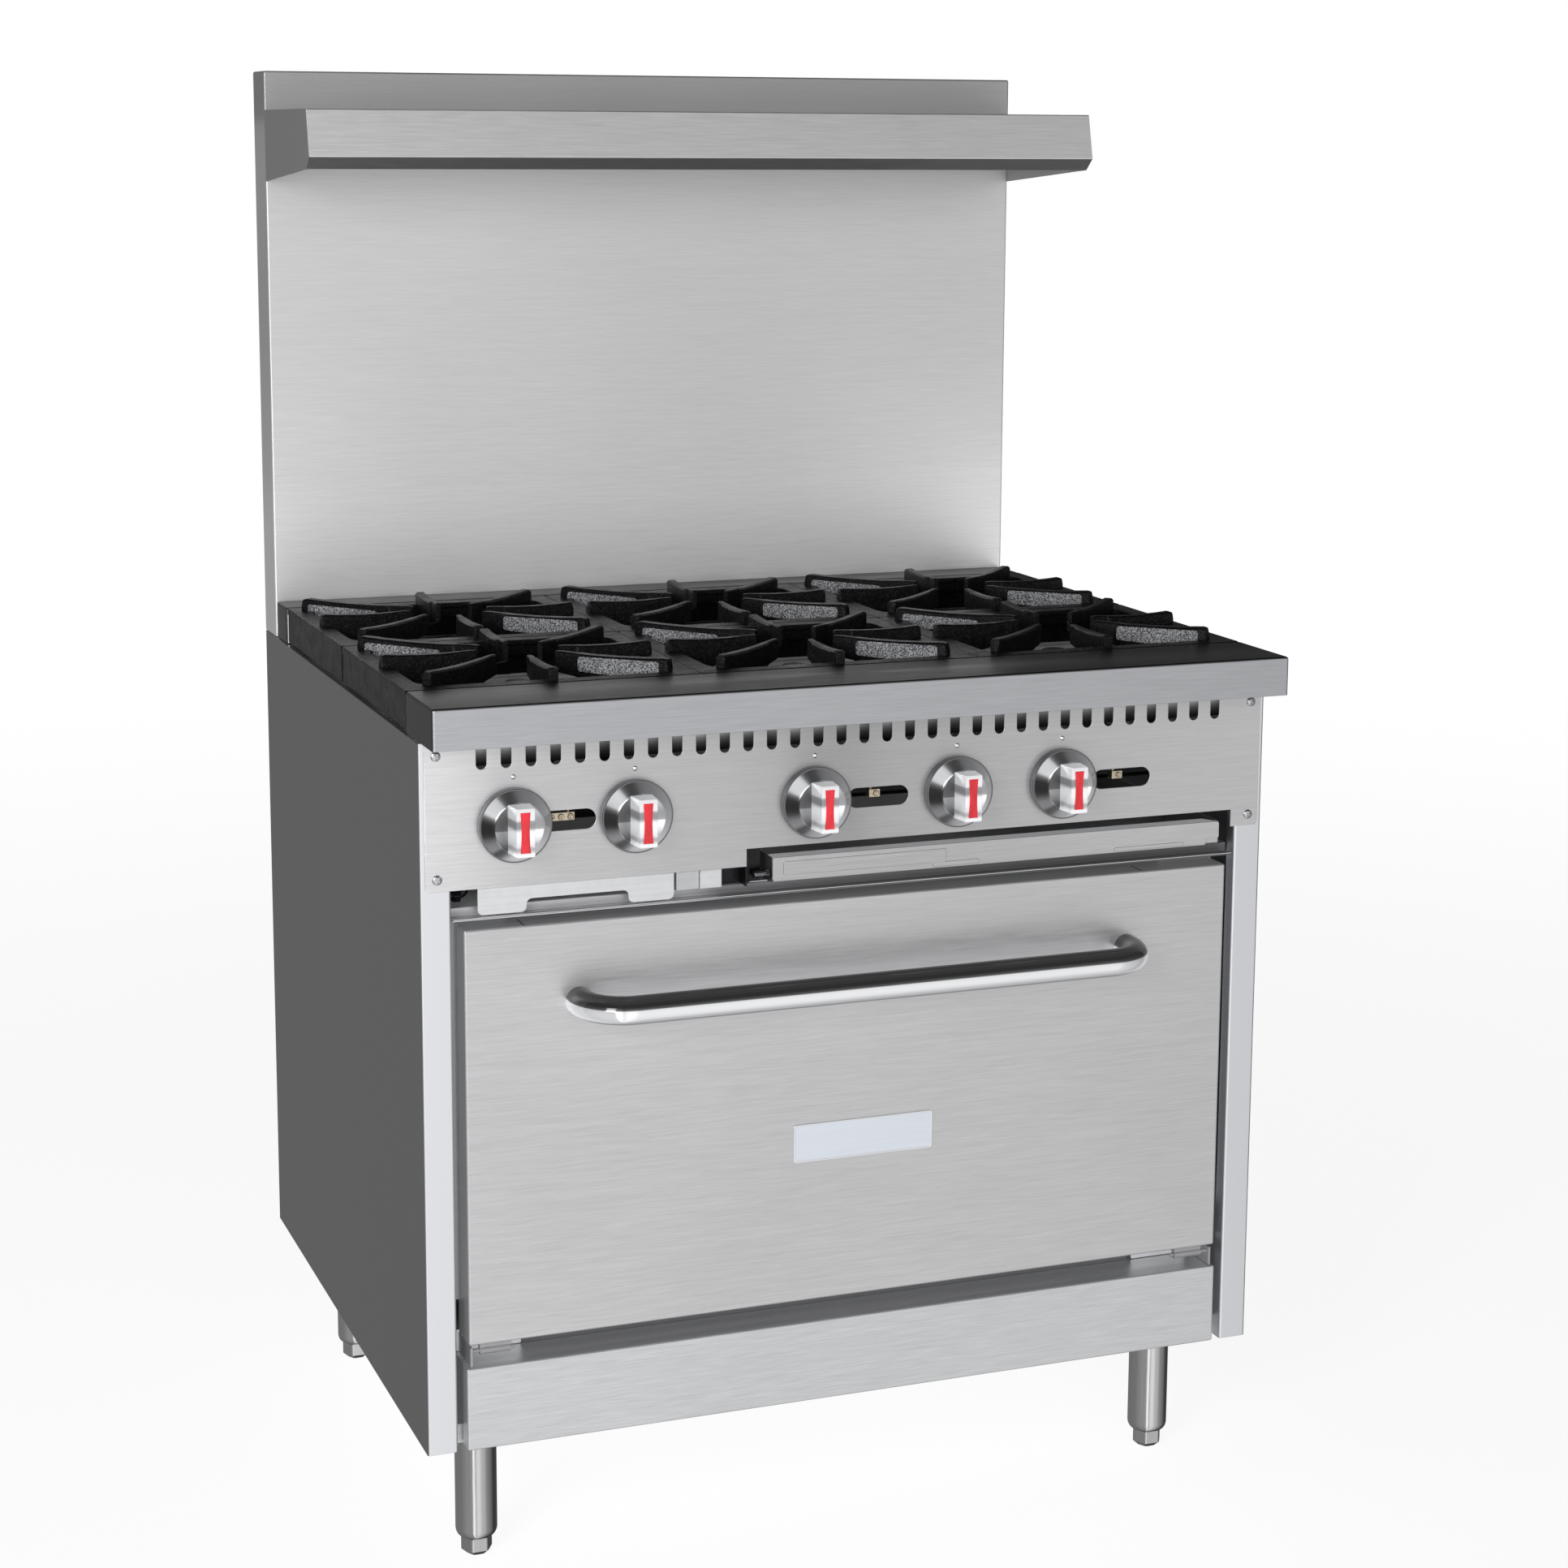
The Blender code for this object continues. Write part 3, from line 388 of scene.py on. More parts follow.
def mill_sheet(name, colour, roughness=0.42, metallic=0.8, fill=0.045):
    """Unpolished sheet: faint spangle and mill marks, and fill, a trace of painted light."""
    finish = Finish(name, colour, metallic, roughness)
    # Painted light: a trace of glow.
    finish.fill(fill)
    spangle = finish.add("TexVoronoi")
    spangle.inputs["Scale"].default_value = 110.0
    finish.join(finish.place.outputs["Object"], spangle.inputs["Vector"])
    tone = finish.times(finish.spread(spangle.outputs["Distance"], 0.97, 1.03, 0.0, 1.0),
                        finish.spread(finish.noise((5.0, 300.0, 300.0)), 0.95, 1.05))
    finish.shade(tone)
    finish.rough(finish.noise(60.0), roughness - 0.06, roughness + 0.06)
    finish.bump(finish.noise(300.0), 0.00004)
    return finish.material


def smooth_metal(name, colour, roughness=0.28):
    finish = Finish(name, colour, 1.0, roughness)
    finish.shade(finish.spread(finish.noise(90.0), 0.88, 1.10))
    finish.rough(finish.noise(160.0), roughness - 0.06, roughness + 0.1)
    return finish.material


def plastic(name, colour, roughness=0.25):
    finish = Finish(name, colour, 0.0, roughness)
    finish.shade(finish.spread(finish.noise((120.0, 120.0, 60.0), 2.0), 0.82, 1.18))
    finish.rough(finish.noise(300.0), roughness - 0.05, roughness + 0.08)
    return finish.material


LOOKS = {
    "steel": brushed("brushed_steel", (0.575, 0.575, 0.583)),
    # Painted reflection: the panel is lightest at its left end and darkest near the middle.
    "panel": brushed("panel_steel", (0.78, 0.78, 0.79), contrast=0.08, along=(
        ("X", ((-0.4515, 0.95), (-0.42, 0.90), (-0.35, 0.74), (-0.25, 0.68), (-0.10, 0.60), (-0.03, 0.48),
               (0.04, 0.56), (0.15, 0.62), (0.32, 0.69), (0.4515, 0.74))),)),
    # Painted shade: the tray's ends are dimmed, and it grows lighter towards its right end.
    "tray": brushed("tray_steel", (0.84, 0.84, 0.85), end=0.30, fill=0.0, along=(
        ("X", ((-0.093, 0.66), (0.05, 0.66), (0.20, 0.68), (0.30, 0.72), (0.415, 0.74))),)),
    # Painted light: the flange glows more than the other sheets.
    "flange": brushed("flange_steel", (0.60, 0.60, 0.61), fill=0.20),
    # Painted shade: the rail's top and ends are dimmed.
    "rail": brushed("rail_steel", (0.49, 0.495, 0.515), top=0.045, end=0.07, fill=0.0,
                    sheen=0.15),
    # Painted light and shade: the backguard is brightest low down and darkest in the strip above the shelf.
    "guard": brushed("backguard_steel", (1.0, 1.0, 1.0), 0.38, contrast=0.06, metallic=0.6, end=0.80,
                     stretch=0.25, fill=0.0, along=(
        ("Z", ((0.90, 1.0), (1.00, 0.97), (1.06, 0.86), (1.14, 0.76), (1.25, 0.70), (1.44, 0.70),
               (1.465, 0.43), (1.51, 0.43))),)),
    # Painted shade: the shelf's ends and underside are dimmed.
    "shelf": brushed("shelf_steel", (0.72, 0.72, 0.73), end=0.50, under=0.40, fill=0.0),
    "kick": brushed("kick_steel", (0.625, 0.63, 0.64), contrast=0.11),
    # Painted shade: the deck darkens towards the right and towards the back.
    "deck": brushed("deck_steel", (0.60, 0.60, 0.62), 0.35, fill=0.02, along=(
        ("X", ((-0.4245, 1.0), (-0.20, 1.0), (-0.13, 0.40), (0.10, 0.22), (0.4245, 0.20))),
        ("Y", ((-0.33, 1.0), (-0.28, 1.0), (-0.25, 0.25), (0.40, 0.20))))),
    "side": side_sheet("side_steel"),
    "leg": brushed("leg_steel", (0.54, 0.54, 0.55), 0.13, grain="z", contrast=0.05, metallic=1.0,
                   stretch=0.0, fill=0.0),
    "chrome": chrome("polished_chrome"),
    "handle": handle_bar("polished_handle"),
    "cone": knob_cone("knob_cone"),
    "face": knob_face("knob_face"),
    "grip": knob_grip("knob_grip"),
    "collar": chrome("knob_collar", (0.20, 0.20, 0.21), 0.16),
    "vent": vent_sheet("vent_shadow"),
    "wire": chrome("plated_wire", (0.70, 0.70, 0.71), 0.18),
    "iron": cast_iron("cast_iron"),
    "painted_glint": iron_painted_highlight("iron_painted_glint"),
    "enamel": enamel("oven_enamel"),
    "mill": mill_sheet("aluminised_sheet", (0.56, 0.57, 0.58)),
    "pale": mill_sheet("pale_sheet", (0.70, 0.71, 0.72), 0.5, 0.5),
    "brass": smooth_metal("valve_brass", (0.62, 0.55, 0.42)),
    "plated": smooth_metal("zinc_plate", (0.58, 0.58, 0.60)),
    # Painted light and shade: cover and trim glow; toe and hinge are darker copies of the mill sheet, for
    # the shade between door and kick panel.
    "cover": mill_sheet("cover_sheet", (0.84, 0.85, 0.87), 0.5, 0.5, 0.20),
    "trim": mill_sheet("trim_sheet", (0.56, 0.57, 0.58), 0.5, 0.5, 0.12),
    "toe": mill_sheet("toe_sheet", (0.30, 0.30, 0.31), 0.5, 0.5, 0.03),
    "hinge": mill_sheet("hinge_steel", (0.36, 0.36, 0.37), 0.45, 0.6, 0.03),
    "dark": smooth_metal("black_fitting", (0.03, 0.03, 0.033), 0.35),
    "red": plastic("red_insert", (0.78, 0.025, 0.040), 0.22),
    "badge": brushed("blank_plate", (0.80, 0.85, 0.92), 0.40, contrast=0.03),
}
# The hinge nodes take the darker hinge look: painted shade.
NODE_LOOKS = {"door_liner": "mill", "door_hinge_left": "hinge", "door_hinge_right": "hinge",
              "hinge_pin_left": "hinge", "hinge_pin_right": "hinge", "gas_manifold": "dark"}
SLOT_LOOKS = {"brushed_steel": "steel", "side_steel": "side", "chrome": "chrome",
              "cast_iron": "iron", "enamel": "enamel", "aluminised_steel": "mill",
              "brass": "brass", "plated_steel": "plated"}


# ---------------------------------------------------------------- modelling helpers
def arc(centre, radius, first, last, steps):
    """Points on an arc, angles in degrees."""
    points = []
    for step in range(steps + 1):
        angle = math.radians(first + (last - first) * step / steps)
        points.append((centre[0] + radius * math.cos(angle), centre[1] + radius * math.sin(angle)))
    return points


def fillet(points, radius, closed=False, steps=5):
    """Round the corners of a 2-D path."""
    points = [Vector(point) for point in points]
    count = len(points)
    rounded = []
    for index, point in enumerate(points):
        if not closed and index in (0, count - 1):
            rounded.append(point)
            continue
        before = (points[index - 1] - point).normalized()
        after = (points[(index + 1) % count] - point).normalized()
        half = before.angle(after) / 2
        centre = point + (before + after).normalized() * radius / math.sin(half)
        start = point + before * radius / math.tan(half) - centre
        end = point + after * radius / math.tan(half) - centre
        first = math.atan2(start.y, start.x)
        sweep = (math.atan2(end.y, end.x) - first + math.pi) % (2 * math.pi) - math.pi
        for step in range(steps + 1):
            angle = first + sweep * step / steps
            rounded.append(centre + Vector((math.cos(angle), math.sin(angle))) * radius)
    return rounded


def folded(path, thickness, radius=FOLD):
    """Outline of a folded sheet: its outer face, thickened to the left of its direction."""
    outer = fillet(path, radius)
    inner = []
    for index, point in enumerate(outer):
        normals = []
        for a, b in ((index - 1, index), (index, index + 1)):
            if a >= 0 and b < len(outer):
                way = (outer[b] - outer[a]).normalized()
                normals.append(Vector((-way.y, way.x)))
        middle = sum(normals, Vector((0, 0))).normalized()
        inner.append(point + middle * thickness / middle.dot(normals[0]))
    return outer + inner[::-1]


def round_rect(low, high, radius, steps=5):
    corners = [(low[0], low[1]), (high[0], low[1]), (high[0], high[1]), (low[0], high[1])]
    return fillet(corners, radius, closed=True, steps=steps)


def slot_outline(low, high, steps=8):
    """A slot with round ends, lying along its longer side."""
    width, height = high[0] - low[0], high[1] - low[1]
    return round_rect(low, high, min(width, height) / 2 - 0.00001, steps)


ORDER = {"x": (2, 0, 1), "y": (0, 2, 1), "z": (0, 1, 2)}


def skin(shape, rings, capped=True):
    """Join rings of vertices with faces, and close both ends."""
    for near, far in zip(rings, rings[1:]):
        for index in range(len(near)):
            after = (index + 1) % len(near)
            shape.faces.new((near[index], near[after], far[after], far[index]))
    if capped:
        shape.faces.new(reversed(rings[0]))
        shape.faces.new(rings[-1])


def made(build, *values, **options):
    """A new bmesh that holds one shape."""
    shape = bmesh.new()
    build(shape, *values, **options)
    return shape


def prism(shape, outline, axis, start, end):
    """Add a closed prism: an outline across one axis, drawn out along it."""
    rings = []
    for level in (start, end):
        ring = []
        for point in outline:
            values = (point[0], point[1], level)
            ring.append(shape.verts.new([values[index] for index in ORDER[axis]]))
        rings.append(ring)
    skin(shape, rings)


def block(shape, low, high):
    middle = (Vector(low) + Vector(high)) / 2
    size = Vector(high) - Vector(low)
    matrix = Matrix.Translation(middle) @ Matrix.Diagonal((*size, 1.0))
    bmesh.ops.create_cube(shape, size=1.0, matrix=matrix)


def lathe(shape, profile, axis, centre, segments=40):
    """Add a turned solid. The profile is (radius, height) pairs and begins and ends on the axis."""
    rings = []
    for radius, height in profile:
        ring = []
        for step in range(segments if radius > 0 else 1):
            angle = 2 * math.pi * step / segments
            values = (radius * math.cos(angle), radius * math.sin(angle), height)
            place = Vector([values[index] for index in ORDER[axis]]) + Vector(centre)
            ring.append(shape.verts.new(place))
        rings.append(ring)
    for near, far in zip(rings, rings[1:]):
        for step in range(segments):
            after = (step + 1) % segments
            corners = [near[step % len(near)], near[after % len(near)]]
            corners += [far[after % len(far)], far[step % len(far)]]
            shape.faces.new(list(dict.fromkeys(corners)))


def tube(shape, path, radius, segments=24):
    """Add a round bar that follows a path, closed at both ends."""
    path = [Vector(point) for point in path]
    side = None
    rings = []
    for index, point in enumerate(path):
        way = (path[min(index + 1, len(path) - 1)] - path[max(index - 1, 0)]).normalized()
        if side is None:
            side = way.orthogonal().normalized()
        side = (side - way * side.dot(way)).normalized()
        other = way.cross(side)
        ring = []
        for step in range(segments):
            angle = 2 * math.pi * step / segments
            offset = side * math.cos(angle) + other * math.sin(angle)
            ring.append(shape.verts.new(point + offset * radius))
        rings.append(ring)
    skin(shape, rings)


def plate(shape, outlines, thickness, place, edge=EDGE, steps=2):
    """Add a flat plate with holes and rounded rims. Its face is at z 0 of its own plane, and it
    goes down from there. The first outline runs anticlockwise; the rest are holes, clockwise."""
    start = len(shape.verts)
    profile = []
    for step in range(steps + 1):
        angle = math.pi / 2 * step / steps
        profile.append((edge * (1 - math.sin(angle)), -edge * (1 - math.cos(angle))))
    profile += [(inset, -thickness - depth) for inset, depth in reversed(profile)]
    rims = ([], [])
    for outline in outlines:
        outline = [Vector(point) for point in outline]
        count = len(outline)
        inward = []
        for index, point in enumerate(outline):
            before = (point - outline[index - 1]).normalized()
            after = (outline[(index + 1) % count] - point).normalized()
            normal = Vector((-before.y - after.y, before.x + after.x)).normalized()
            inward.append(normal / max(normal.dot(Vector((-before.y, before.x))), 0.3))
        rings = []
        for inset, depth in profile:
            rings.append([shape.verts.new((*(point + way * inset), depth))
                          for point, way in zip(outline, inward)])
        skin(shape, rings, capped=False)
        for rim, ring in zip(rims, (rings[0], rings[-1])):
            for index in range(count):
                rim.append(shape.edges.get((ring[index], ring[(index + 1) % count])))
    for rim in rims:
        bmesh.ops.triangle_fill(shape, edges=rim, use_beauty=True)
    shape.verts.ensure_lookup_table()
    bmesh.ops.transform(shape, matrix=place, verts=shape.verts[start:])


def upright(y):
    """Place of a plate whose face looks at the cook, at this Y: its X and Y become X and Z."""
    return Matrix(((1, 0, 0, 0), (0, 0, -1, y), (0, 1, 0, 0), (0, 0, 0, 1)))


def level(z):
    """Place of a plate whose face looks up, at this height."""
    return Matrix.Translation((0, 0, z))


def placed(name, data):
    """A new object in the scene, made from a mesh, a light, a camera or a bmesh."""
    if isinstance(data, bmesh.types.BMesh):
        shape, data = data, bpy.data.meshes.new(name)
        bmesh.ops.recalc_face_normals(shape, faces=shape.faces)
        shape.to_mesh(data)
        shape.free()
    item = bpy.data.objects.new(name, data)
    bpy.context.scene.collection.objects.link(item)
    return item


def piece(name, shape, look, body, replaces=(), bevel=EDGE, smooth=40):
    """Turn a bmesh in the frame's coordinates into a visible piece that rides on a body."""
    item = placed(name, shape)
    item.data.shade_smooth()
    item.data.set_sharp_from_angle(angle=math.radians(smooth))
    item.data.materials.append(LOOKS[look])
    soften(item, bevel)
    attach(item, body)
    if replaces:
        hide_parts(*replaces)
    return item


def soften(item, width, angle=50):
    """Round the sharp edges a little and keep the flats flat."""
    if width:
        bevel = item.modifiers.new("edges", "BEVEL")
        bevel.width = width
        bevel.segments = 2
        bevel.limit_method = "ANGLE"
        bevel.angle_limit = math.radians(angle)
        bevel.miter_outer = "MITER_ARC"
    normals = item.modifiers.new("normals", "WEIGHTED_NORMAL")
    normals.keep_sharp = True


def carve(item, cutters):
    """Cut another bmesh out of a piece, now, and round the edges that this leaves."""
    tool = placed("cutters", cutters)
    item.modifiers.clear()
    cut = item.modifiers.new("cut", "BOOLEAN")
    cut.operation, cut.solver, cut.object, cut.use_self = "DIFFERENCE", "EXACT", tool, True
    depsgraph = bpy.context.evaluated_depsgraph_get()
    result = bpy.data.meshes.new_from_object(item.evaluated_get(depsgraph))
    item.modifiers.clear()
    item.data = result
    bpy.data.objects.remove(tool, do_unlink=True)
    soften(item, EDGE)


def shell(shape, low, high, open_side, radius, wall, segments=4):
    """Add a sheet-metal box, open on one side, with rounded folds."""
    box = bmesh.new()
    block(box, low, high)
    axis, sign = "xyz".index(open_side[0]), open_side[1]

    def mouth_faces():
        edge_value = (high if sign > 0 else low)[axis]
        return [face for face in box.faces
                if all(abs(vert.co[axis] - edge_value) < 1e-6 for vert in face.verts)]

    mouth = mouth_faces()[0]
    folds = [edge for edge in box.edges if mouth not in edge.link_faces]
    bmesh.ops.bevel(box, geom=folds, offset=radius, segments=segments, profile=0.5, affect="EDGES")
    bmesh.ops.delete(box, geom=mouth_faces(), context="FACES_ONLY")
    bmesh.ops.recalc_face_normals(box, faces=box.faces)
    middle = (Vector(low) + Vector(high)) / 2
    face = max(box.faces, key=lambda f: f.calc_area())
    if face.normal.dot(face.calc_center_median() - middle) < 0:
        bmesh.ops.reverse_faces(box, faces=box.faces)
    box.normal_update()
    inner = {}
    for vert in box.verts:
        normals = []
        for face in vert.link_faces:
            if all(face.normal.dot(other) < 0.999 for other in normals):
                normals.append(face.normal.copy())
        way = sum(normals, Vector()).normalized()
        share = max(min(way.dot(normal) for normal in normals), 0.4)
        inner[vert] = vert.co - way * wall / share
    copies = {}
    for vert, place in inner.items():
        copies[vert] = (shape.verts.new(vert.co), shape.verts.new(place))
    for face in box.faces:
        shape.faces.new([copies[vert][0] for vert in face.verts])
        shape.faces.new([copies[vert][1] for vert in reversed(face.verts)])
    for edge in box.edges:
        if len(edge.link_faces) == 1:
            a, b = edge.verts
            shape.faces.new((copies[a][0], copies[b][0], copies[b][1], copies[a][1]))
    box.free()


def show_node(name):
    """Keep a CAD node on show with its finish, painted shade for the hinges, and softened edges."""
    item = frame["nodes"][name]
    slot = next(row["material_slot"] for row in frame["record"]["subparts"] if row["node"] == name)
    item.data.materials.clear()
    item.data.materials.append(LOOKS[NODE_LOOKS.get(name) or SLOT_LOOKS[slot]])
    weld = item.modifiers.new("weld", "WELD")
    weld.merge_threshold = 0.00001
    soften(item, 0.0006, 35)


# ---------------------------------------------------------------- body sheets
def side_panel(name, side):
    low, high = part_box(name)
    outer = low.x if side < 0 else high.x
    flange = outer - side * 0.031
    path = [(flange, FRONT + 0.016), (flange, FRONT), (outer, FRONT), (outer, BACK),
            (outer - side * 0.020, BACK)]
    if side < 0:
        path.reverse()
    shape = made(prism, folded(path, SHEET), "z", low.z, high.z)
    edges = sorted((outer - side * SHEET / 2, outer - side * 0.018))
    block(shape, (edges[0], FRONT + 0.020, BODY_TOP - SHEET),
          (edges[1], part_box("backguard")[0].y, BODY_TOP))
    piece(name + "_sheet", shape, "side", "root", [name])


def rail(name, ledge_side):
    """A folded channel, open below, with a ledge that carries the grates."""
    low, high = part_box(name)
    reach = 0.013
    front, rear = low.y, high.y
    if ledge_side > 0:
        rear -= reach
    else:
        front += reach
    bottom = BODY_TOP + 0.0015
    shape = made(shell, (low.x, front, bottom), (high.x, rear, high.z), ("z", -1), 0.0030, PLATE)
    web = rear if ledge_side > 0 else front
    web_y = sorted((web, web - ledge_side * PLATE))
    ledge_y = sorted((web - ledge_side * PLATE, web + ledge_side * reach))
    half = high.x - 0.0255
    block(shape, (-half, web_y[0], BODY_TOP - PLATE), (half, web_y[1], bottom + 0.004))
    block(shape, (-half, ledge_y[0], BODY_TOP - PLATE), (half, ledge_y[1], BODY_TOP))
    piece(name + "_channel", shape, "rail", "root", [name])


def knob_x(name):
    low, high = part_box(name)
    return (low.x + high.x) / 2


def vents():
    """The row of upright slots along the top of the control panel."""
    count, pitch, middle, width = 33, 0.02477, 0.0013, 0.0104
    for index in range(count):
        x = middle + (index - (count - 1) / 2) * pitch
        yield slot_outline((x - width / 2, 0.8394), (x + width / 2, 0.864))


def control_panel():
    left, right, top, low = -0.124, 0.420, 0.740, PANEL_LOW.z
    half = PANEL_HIGH.x
    outline = (fillet([(-half, BODY_TOP), (-half, low), (left, low)], 0.004)
               + [(left, top), (right, top)]
               + fillet([(right, low), (half, low), (half, BODY_TOP)], 0.004))
    holes = list(vents())
    for name in KNOBS:
        holes.append(arc((knob_x(name), KNOB_Z), 0.007, 0, 345, 23))
    for end in SIGHT_ENDS:
        holes.append(slot_outline((end - 0.066, KNOB_Z - 0.010), (end, KNOB_Z + 0.010)))
    shape = made(plate, [outline] + [hole[::-1] for hole in holes], PLATE, upright(PANEL_FACE), 0.0006, 3)
    piece("control_panel_sheet", shape, "panel", "root", ["control_panel"], 0)


def vent_baffle():
    """Sheet that slopes down behind the vents, put there to carry the painted light and shade seen through
    them.
    """
    front = PANEL_HIGH.y + 0.0008
    path = [(front, 0.8665), (front + 0.0008, 0.8665), (front + 0.0128, 0.8400), (front + 0.0120, 0.8400)]
    shape = made(prism, path, "x", -0.418, 0.418)
    piece("vent_baffle", shape, "vent", "root", bevel=0)


def dome(radius, height, base=0.0):
    """Profile of a domed head that stands towards the cook, from its rim to its top."""
    points = []
    for angle in range(0, 90, 15):
        turn = math.radians(angle)
        points.append((radius * math.cos(turn), -base - height * math.sin(turn)))
    return points + [(0, -base - height)]


def dimples():
    """A small raised dot above each knob."""
    shape = bmesh.new()
    profile = [(0, 0.0003), (0.0030, 0.0003)] + dome(0.0026, 0.0012)
    for name in KNOBS:
        lathe(shape, profile, "y", (knob_x(name), PANEL_FACE, 0.830), 20)
    piece("panel_dimples", shape, "chrome", "root", bevel=0)


def panel_screws():
    """Pan-head cross-recess screws near the panel's corners."""
    radius, rim = 0.0050, 0.0004
    rise = radius * 0.42
    profile = [(0, rim), (radius, rim)] + dome(radius, rise, rim)
    heads, cuts = bmesh.new(), bmesh.new()
    for x, z in ((-0.440, 0.855), (-0.440, 0.734), (0.440, 0.855), (0.440, 0.734)):
        lathe(heads, profile, "y", (x, PANEL_FACE, z), 24)
        for turn in (35, 125):
            spin = (Matrix.Translation((x, PANEL_FACE - rim - rise, z))
                    @ Matrix.Rotation(math.radians(turn), 4, "Y")
                    @ Matrix.Diagonal((radius * 1.25, radius * 0.5, radius * 0.22, 1.0)))
            bmesh.ops.create_cube(cuts, size=1.0, matrix=spin)
    item = piece("panel_screws", heads, "plated", "root", bevel=0)
    carve(item, cuts)
    item.modifiers.clear()


def valve_bracket():
    low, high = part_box("valve_bracket")
    notch, bottom, top = 0.7075, low.z, high.z
    points = [(low.x, top), (low.x, bottom), (-0.350, bottom), (-0.350, notch), (-0.246, notch),
              (-0.246, bottom), (high.x, bottom), (high.x, top)]
    outline = fillet(points, 0.0055, steps=4)
    shape = made(plate, [outline], PLATE, upright(low.y + 0.0020))
    piece("valve_bracket_plate", shape, "pale", "root", ["valve_bracket"], 0)


def deck():
    """Plate between oven and burners, with a rolled front edge and a step."""
    low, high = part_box("oven_top_plate")
    step = FRONT + 0.016
    path = [(high.y, high.z), (step, high.z), (step, low.z), (low.y, low.z)]
    shape = made(prism, folded(path, SHEET, 0.0014), "x", low.x, high.x)
    piece("oven_top_deck", shape, "deck", "root", ["oven_top_plate"])
    hem = (low.y + 0.0010, low.z + 0.0008)
    shape = made(tube, [(low.x + 0.001, *hem), (high.x - 0.001, *hem)], 0.0010, 12)
    piece("deck_hem", shape, "wire", "root", bevel=0)


def kick_panel():
    """Folded panel whose top flange reaches back under the door."""
    low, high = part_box("kick_panel")
    turn_in = low.y + 0.018
    shape = made(shell, low, (high.x, turn_in, high.z), ("y", 1), 0.0018, SHEET)
    piece("kick_panel_sheet", shape, "kick", "kick_panel", ["kick_panel"])
    outline = [(low.x + 0.0005, turn_in - 0.0002), (high.x - 0.0005, turn_in - 0.0002),
               (high.x - 0.0005, high.y), (low.x + 0.0005, high.y)]
    shape = made(plate, [outline], SHEET, level(high.z), 0.0002)
    piece("kick_panel_flange", shape, "kick", "kick_panel", bevel=0)
    shape = bmesh.new()
    for side in (-1, 1):
        ends = sorted((side * 0.4150, side * 0.4138))
        block(shape, (ends[0], turn_in + 0.0006, low.z + 0.002),
              (ends[1], turn_in + 0.045, high.z - 0.0020))
    piece("kick_side_brackets", shape, "mill", "root", bevel=0)


def backguard():
    low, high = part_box("backguard")
    shape = made(shell, low, high, ("z", -1), 0.0022, SHEET)
    item = piece("backguard_sheet", shape, "guard", "root", ["backguard"])
    cutters = bmesh.new()
    middle = (low.y + high.y) / 2
    slots = 6
    for index in range(slots):
        x = (index - (slots - 1) / 2) * 0.140
        outline = slot_outline((x - 0.055, middle - 0.010), (x + 0.055, middle + 0.010))
        prism(cutters, outline, "z", high.z - 0.01, high.z + 0.01)
    carve(item, cutters)


def high_shelf():
    low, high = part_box("high_shelf")
    root, front = high.y, low.y
    top, bottom = high.z, low.z
    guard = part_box("backguard")[0].y
    upper, lower, lip = (guard - 0.221, top), (front, 1.415), (guard - 0.2175, 1.402)
    profile = [(root, top), upper, lower, lip, (root, bottom)]
    shape = made(prism, folded(profile[:4], SHEET, 0.0016), "x", low.x + SHEET / 2, high.x - SHEET / 2)
    for start in (low.x, high.x - SHEET):
        prism(shape, profile, "x", start, start + SHEET)
    piece("high_shelf_sheet", shape, "shelf", "root", ["high_shelf"])


# ---------------------------------------------------------------- oven door
def door():
    low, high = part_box("door_shell")
    shape = made(shell, low, high, ("y", 1), 0.0022, PLATE)
    piece("door_skin", shape, "steel", "door", ["door_shell"])

    low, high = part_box("door_handle")
    radius = (high.z - low.z) / 2
    half, middle = high.x - radius, (low.z + high.z) / 2
    reach, bend = low.y + radius, 0.042
    corner = fillet([(-half, high.y), (-half, reach), (0, reach)], bend, steps=16)
    path = [(x, y, middle) for x, y in corner] + [(-x, y, middle) for x, y in reversed(corner[:-1])]
    shape = made(tube, path, radius, 48)
    piece("door_handle_bar", shape, "handle", "door", ["door_handle"], 0)

    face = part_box("door_shell")[0].y
    outer = round_rect((-0.073, 0.4085), (0.080, 0.4485), 0.003)
    inner = round_rect((-0.0714, 0.4101), (0.0784, 0.4469), 0.0016)
    shape = made(plate, [outer], 0.0010, upright(face - 0.0009), 0.0004)
    piece("blank_nameplate", shape, "badge", "door", bevel=0)
    shape = made(plate, [outer, inner[::-1]], 0.0012, upright(face - 0.0013), 0.0003)
    piece("blank_nameplate_rim", shape, "chrome", "door", bevel=0)


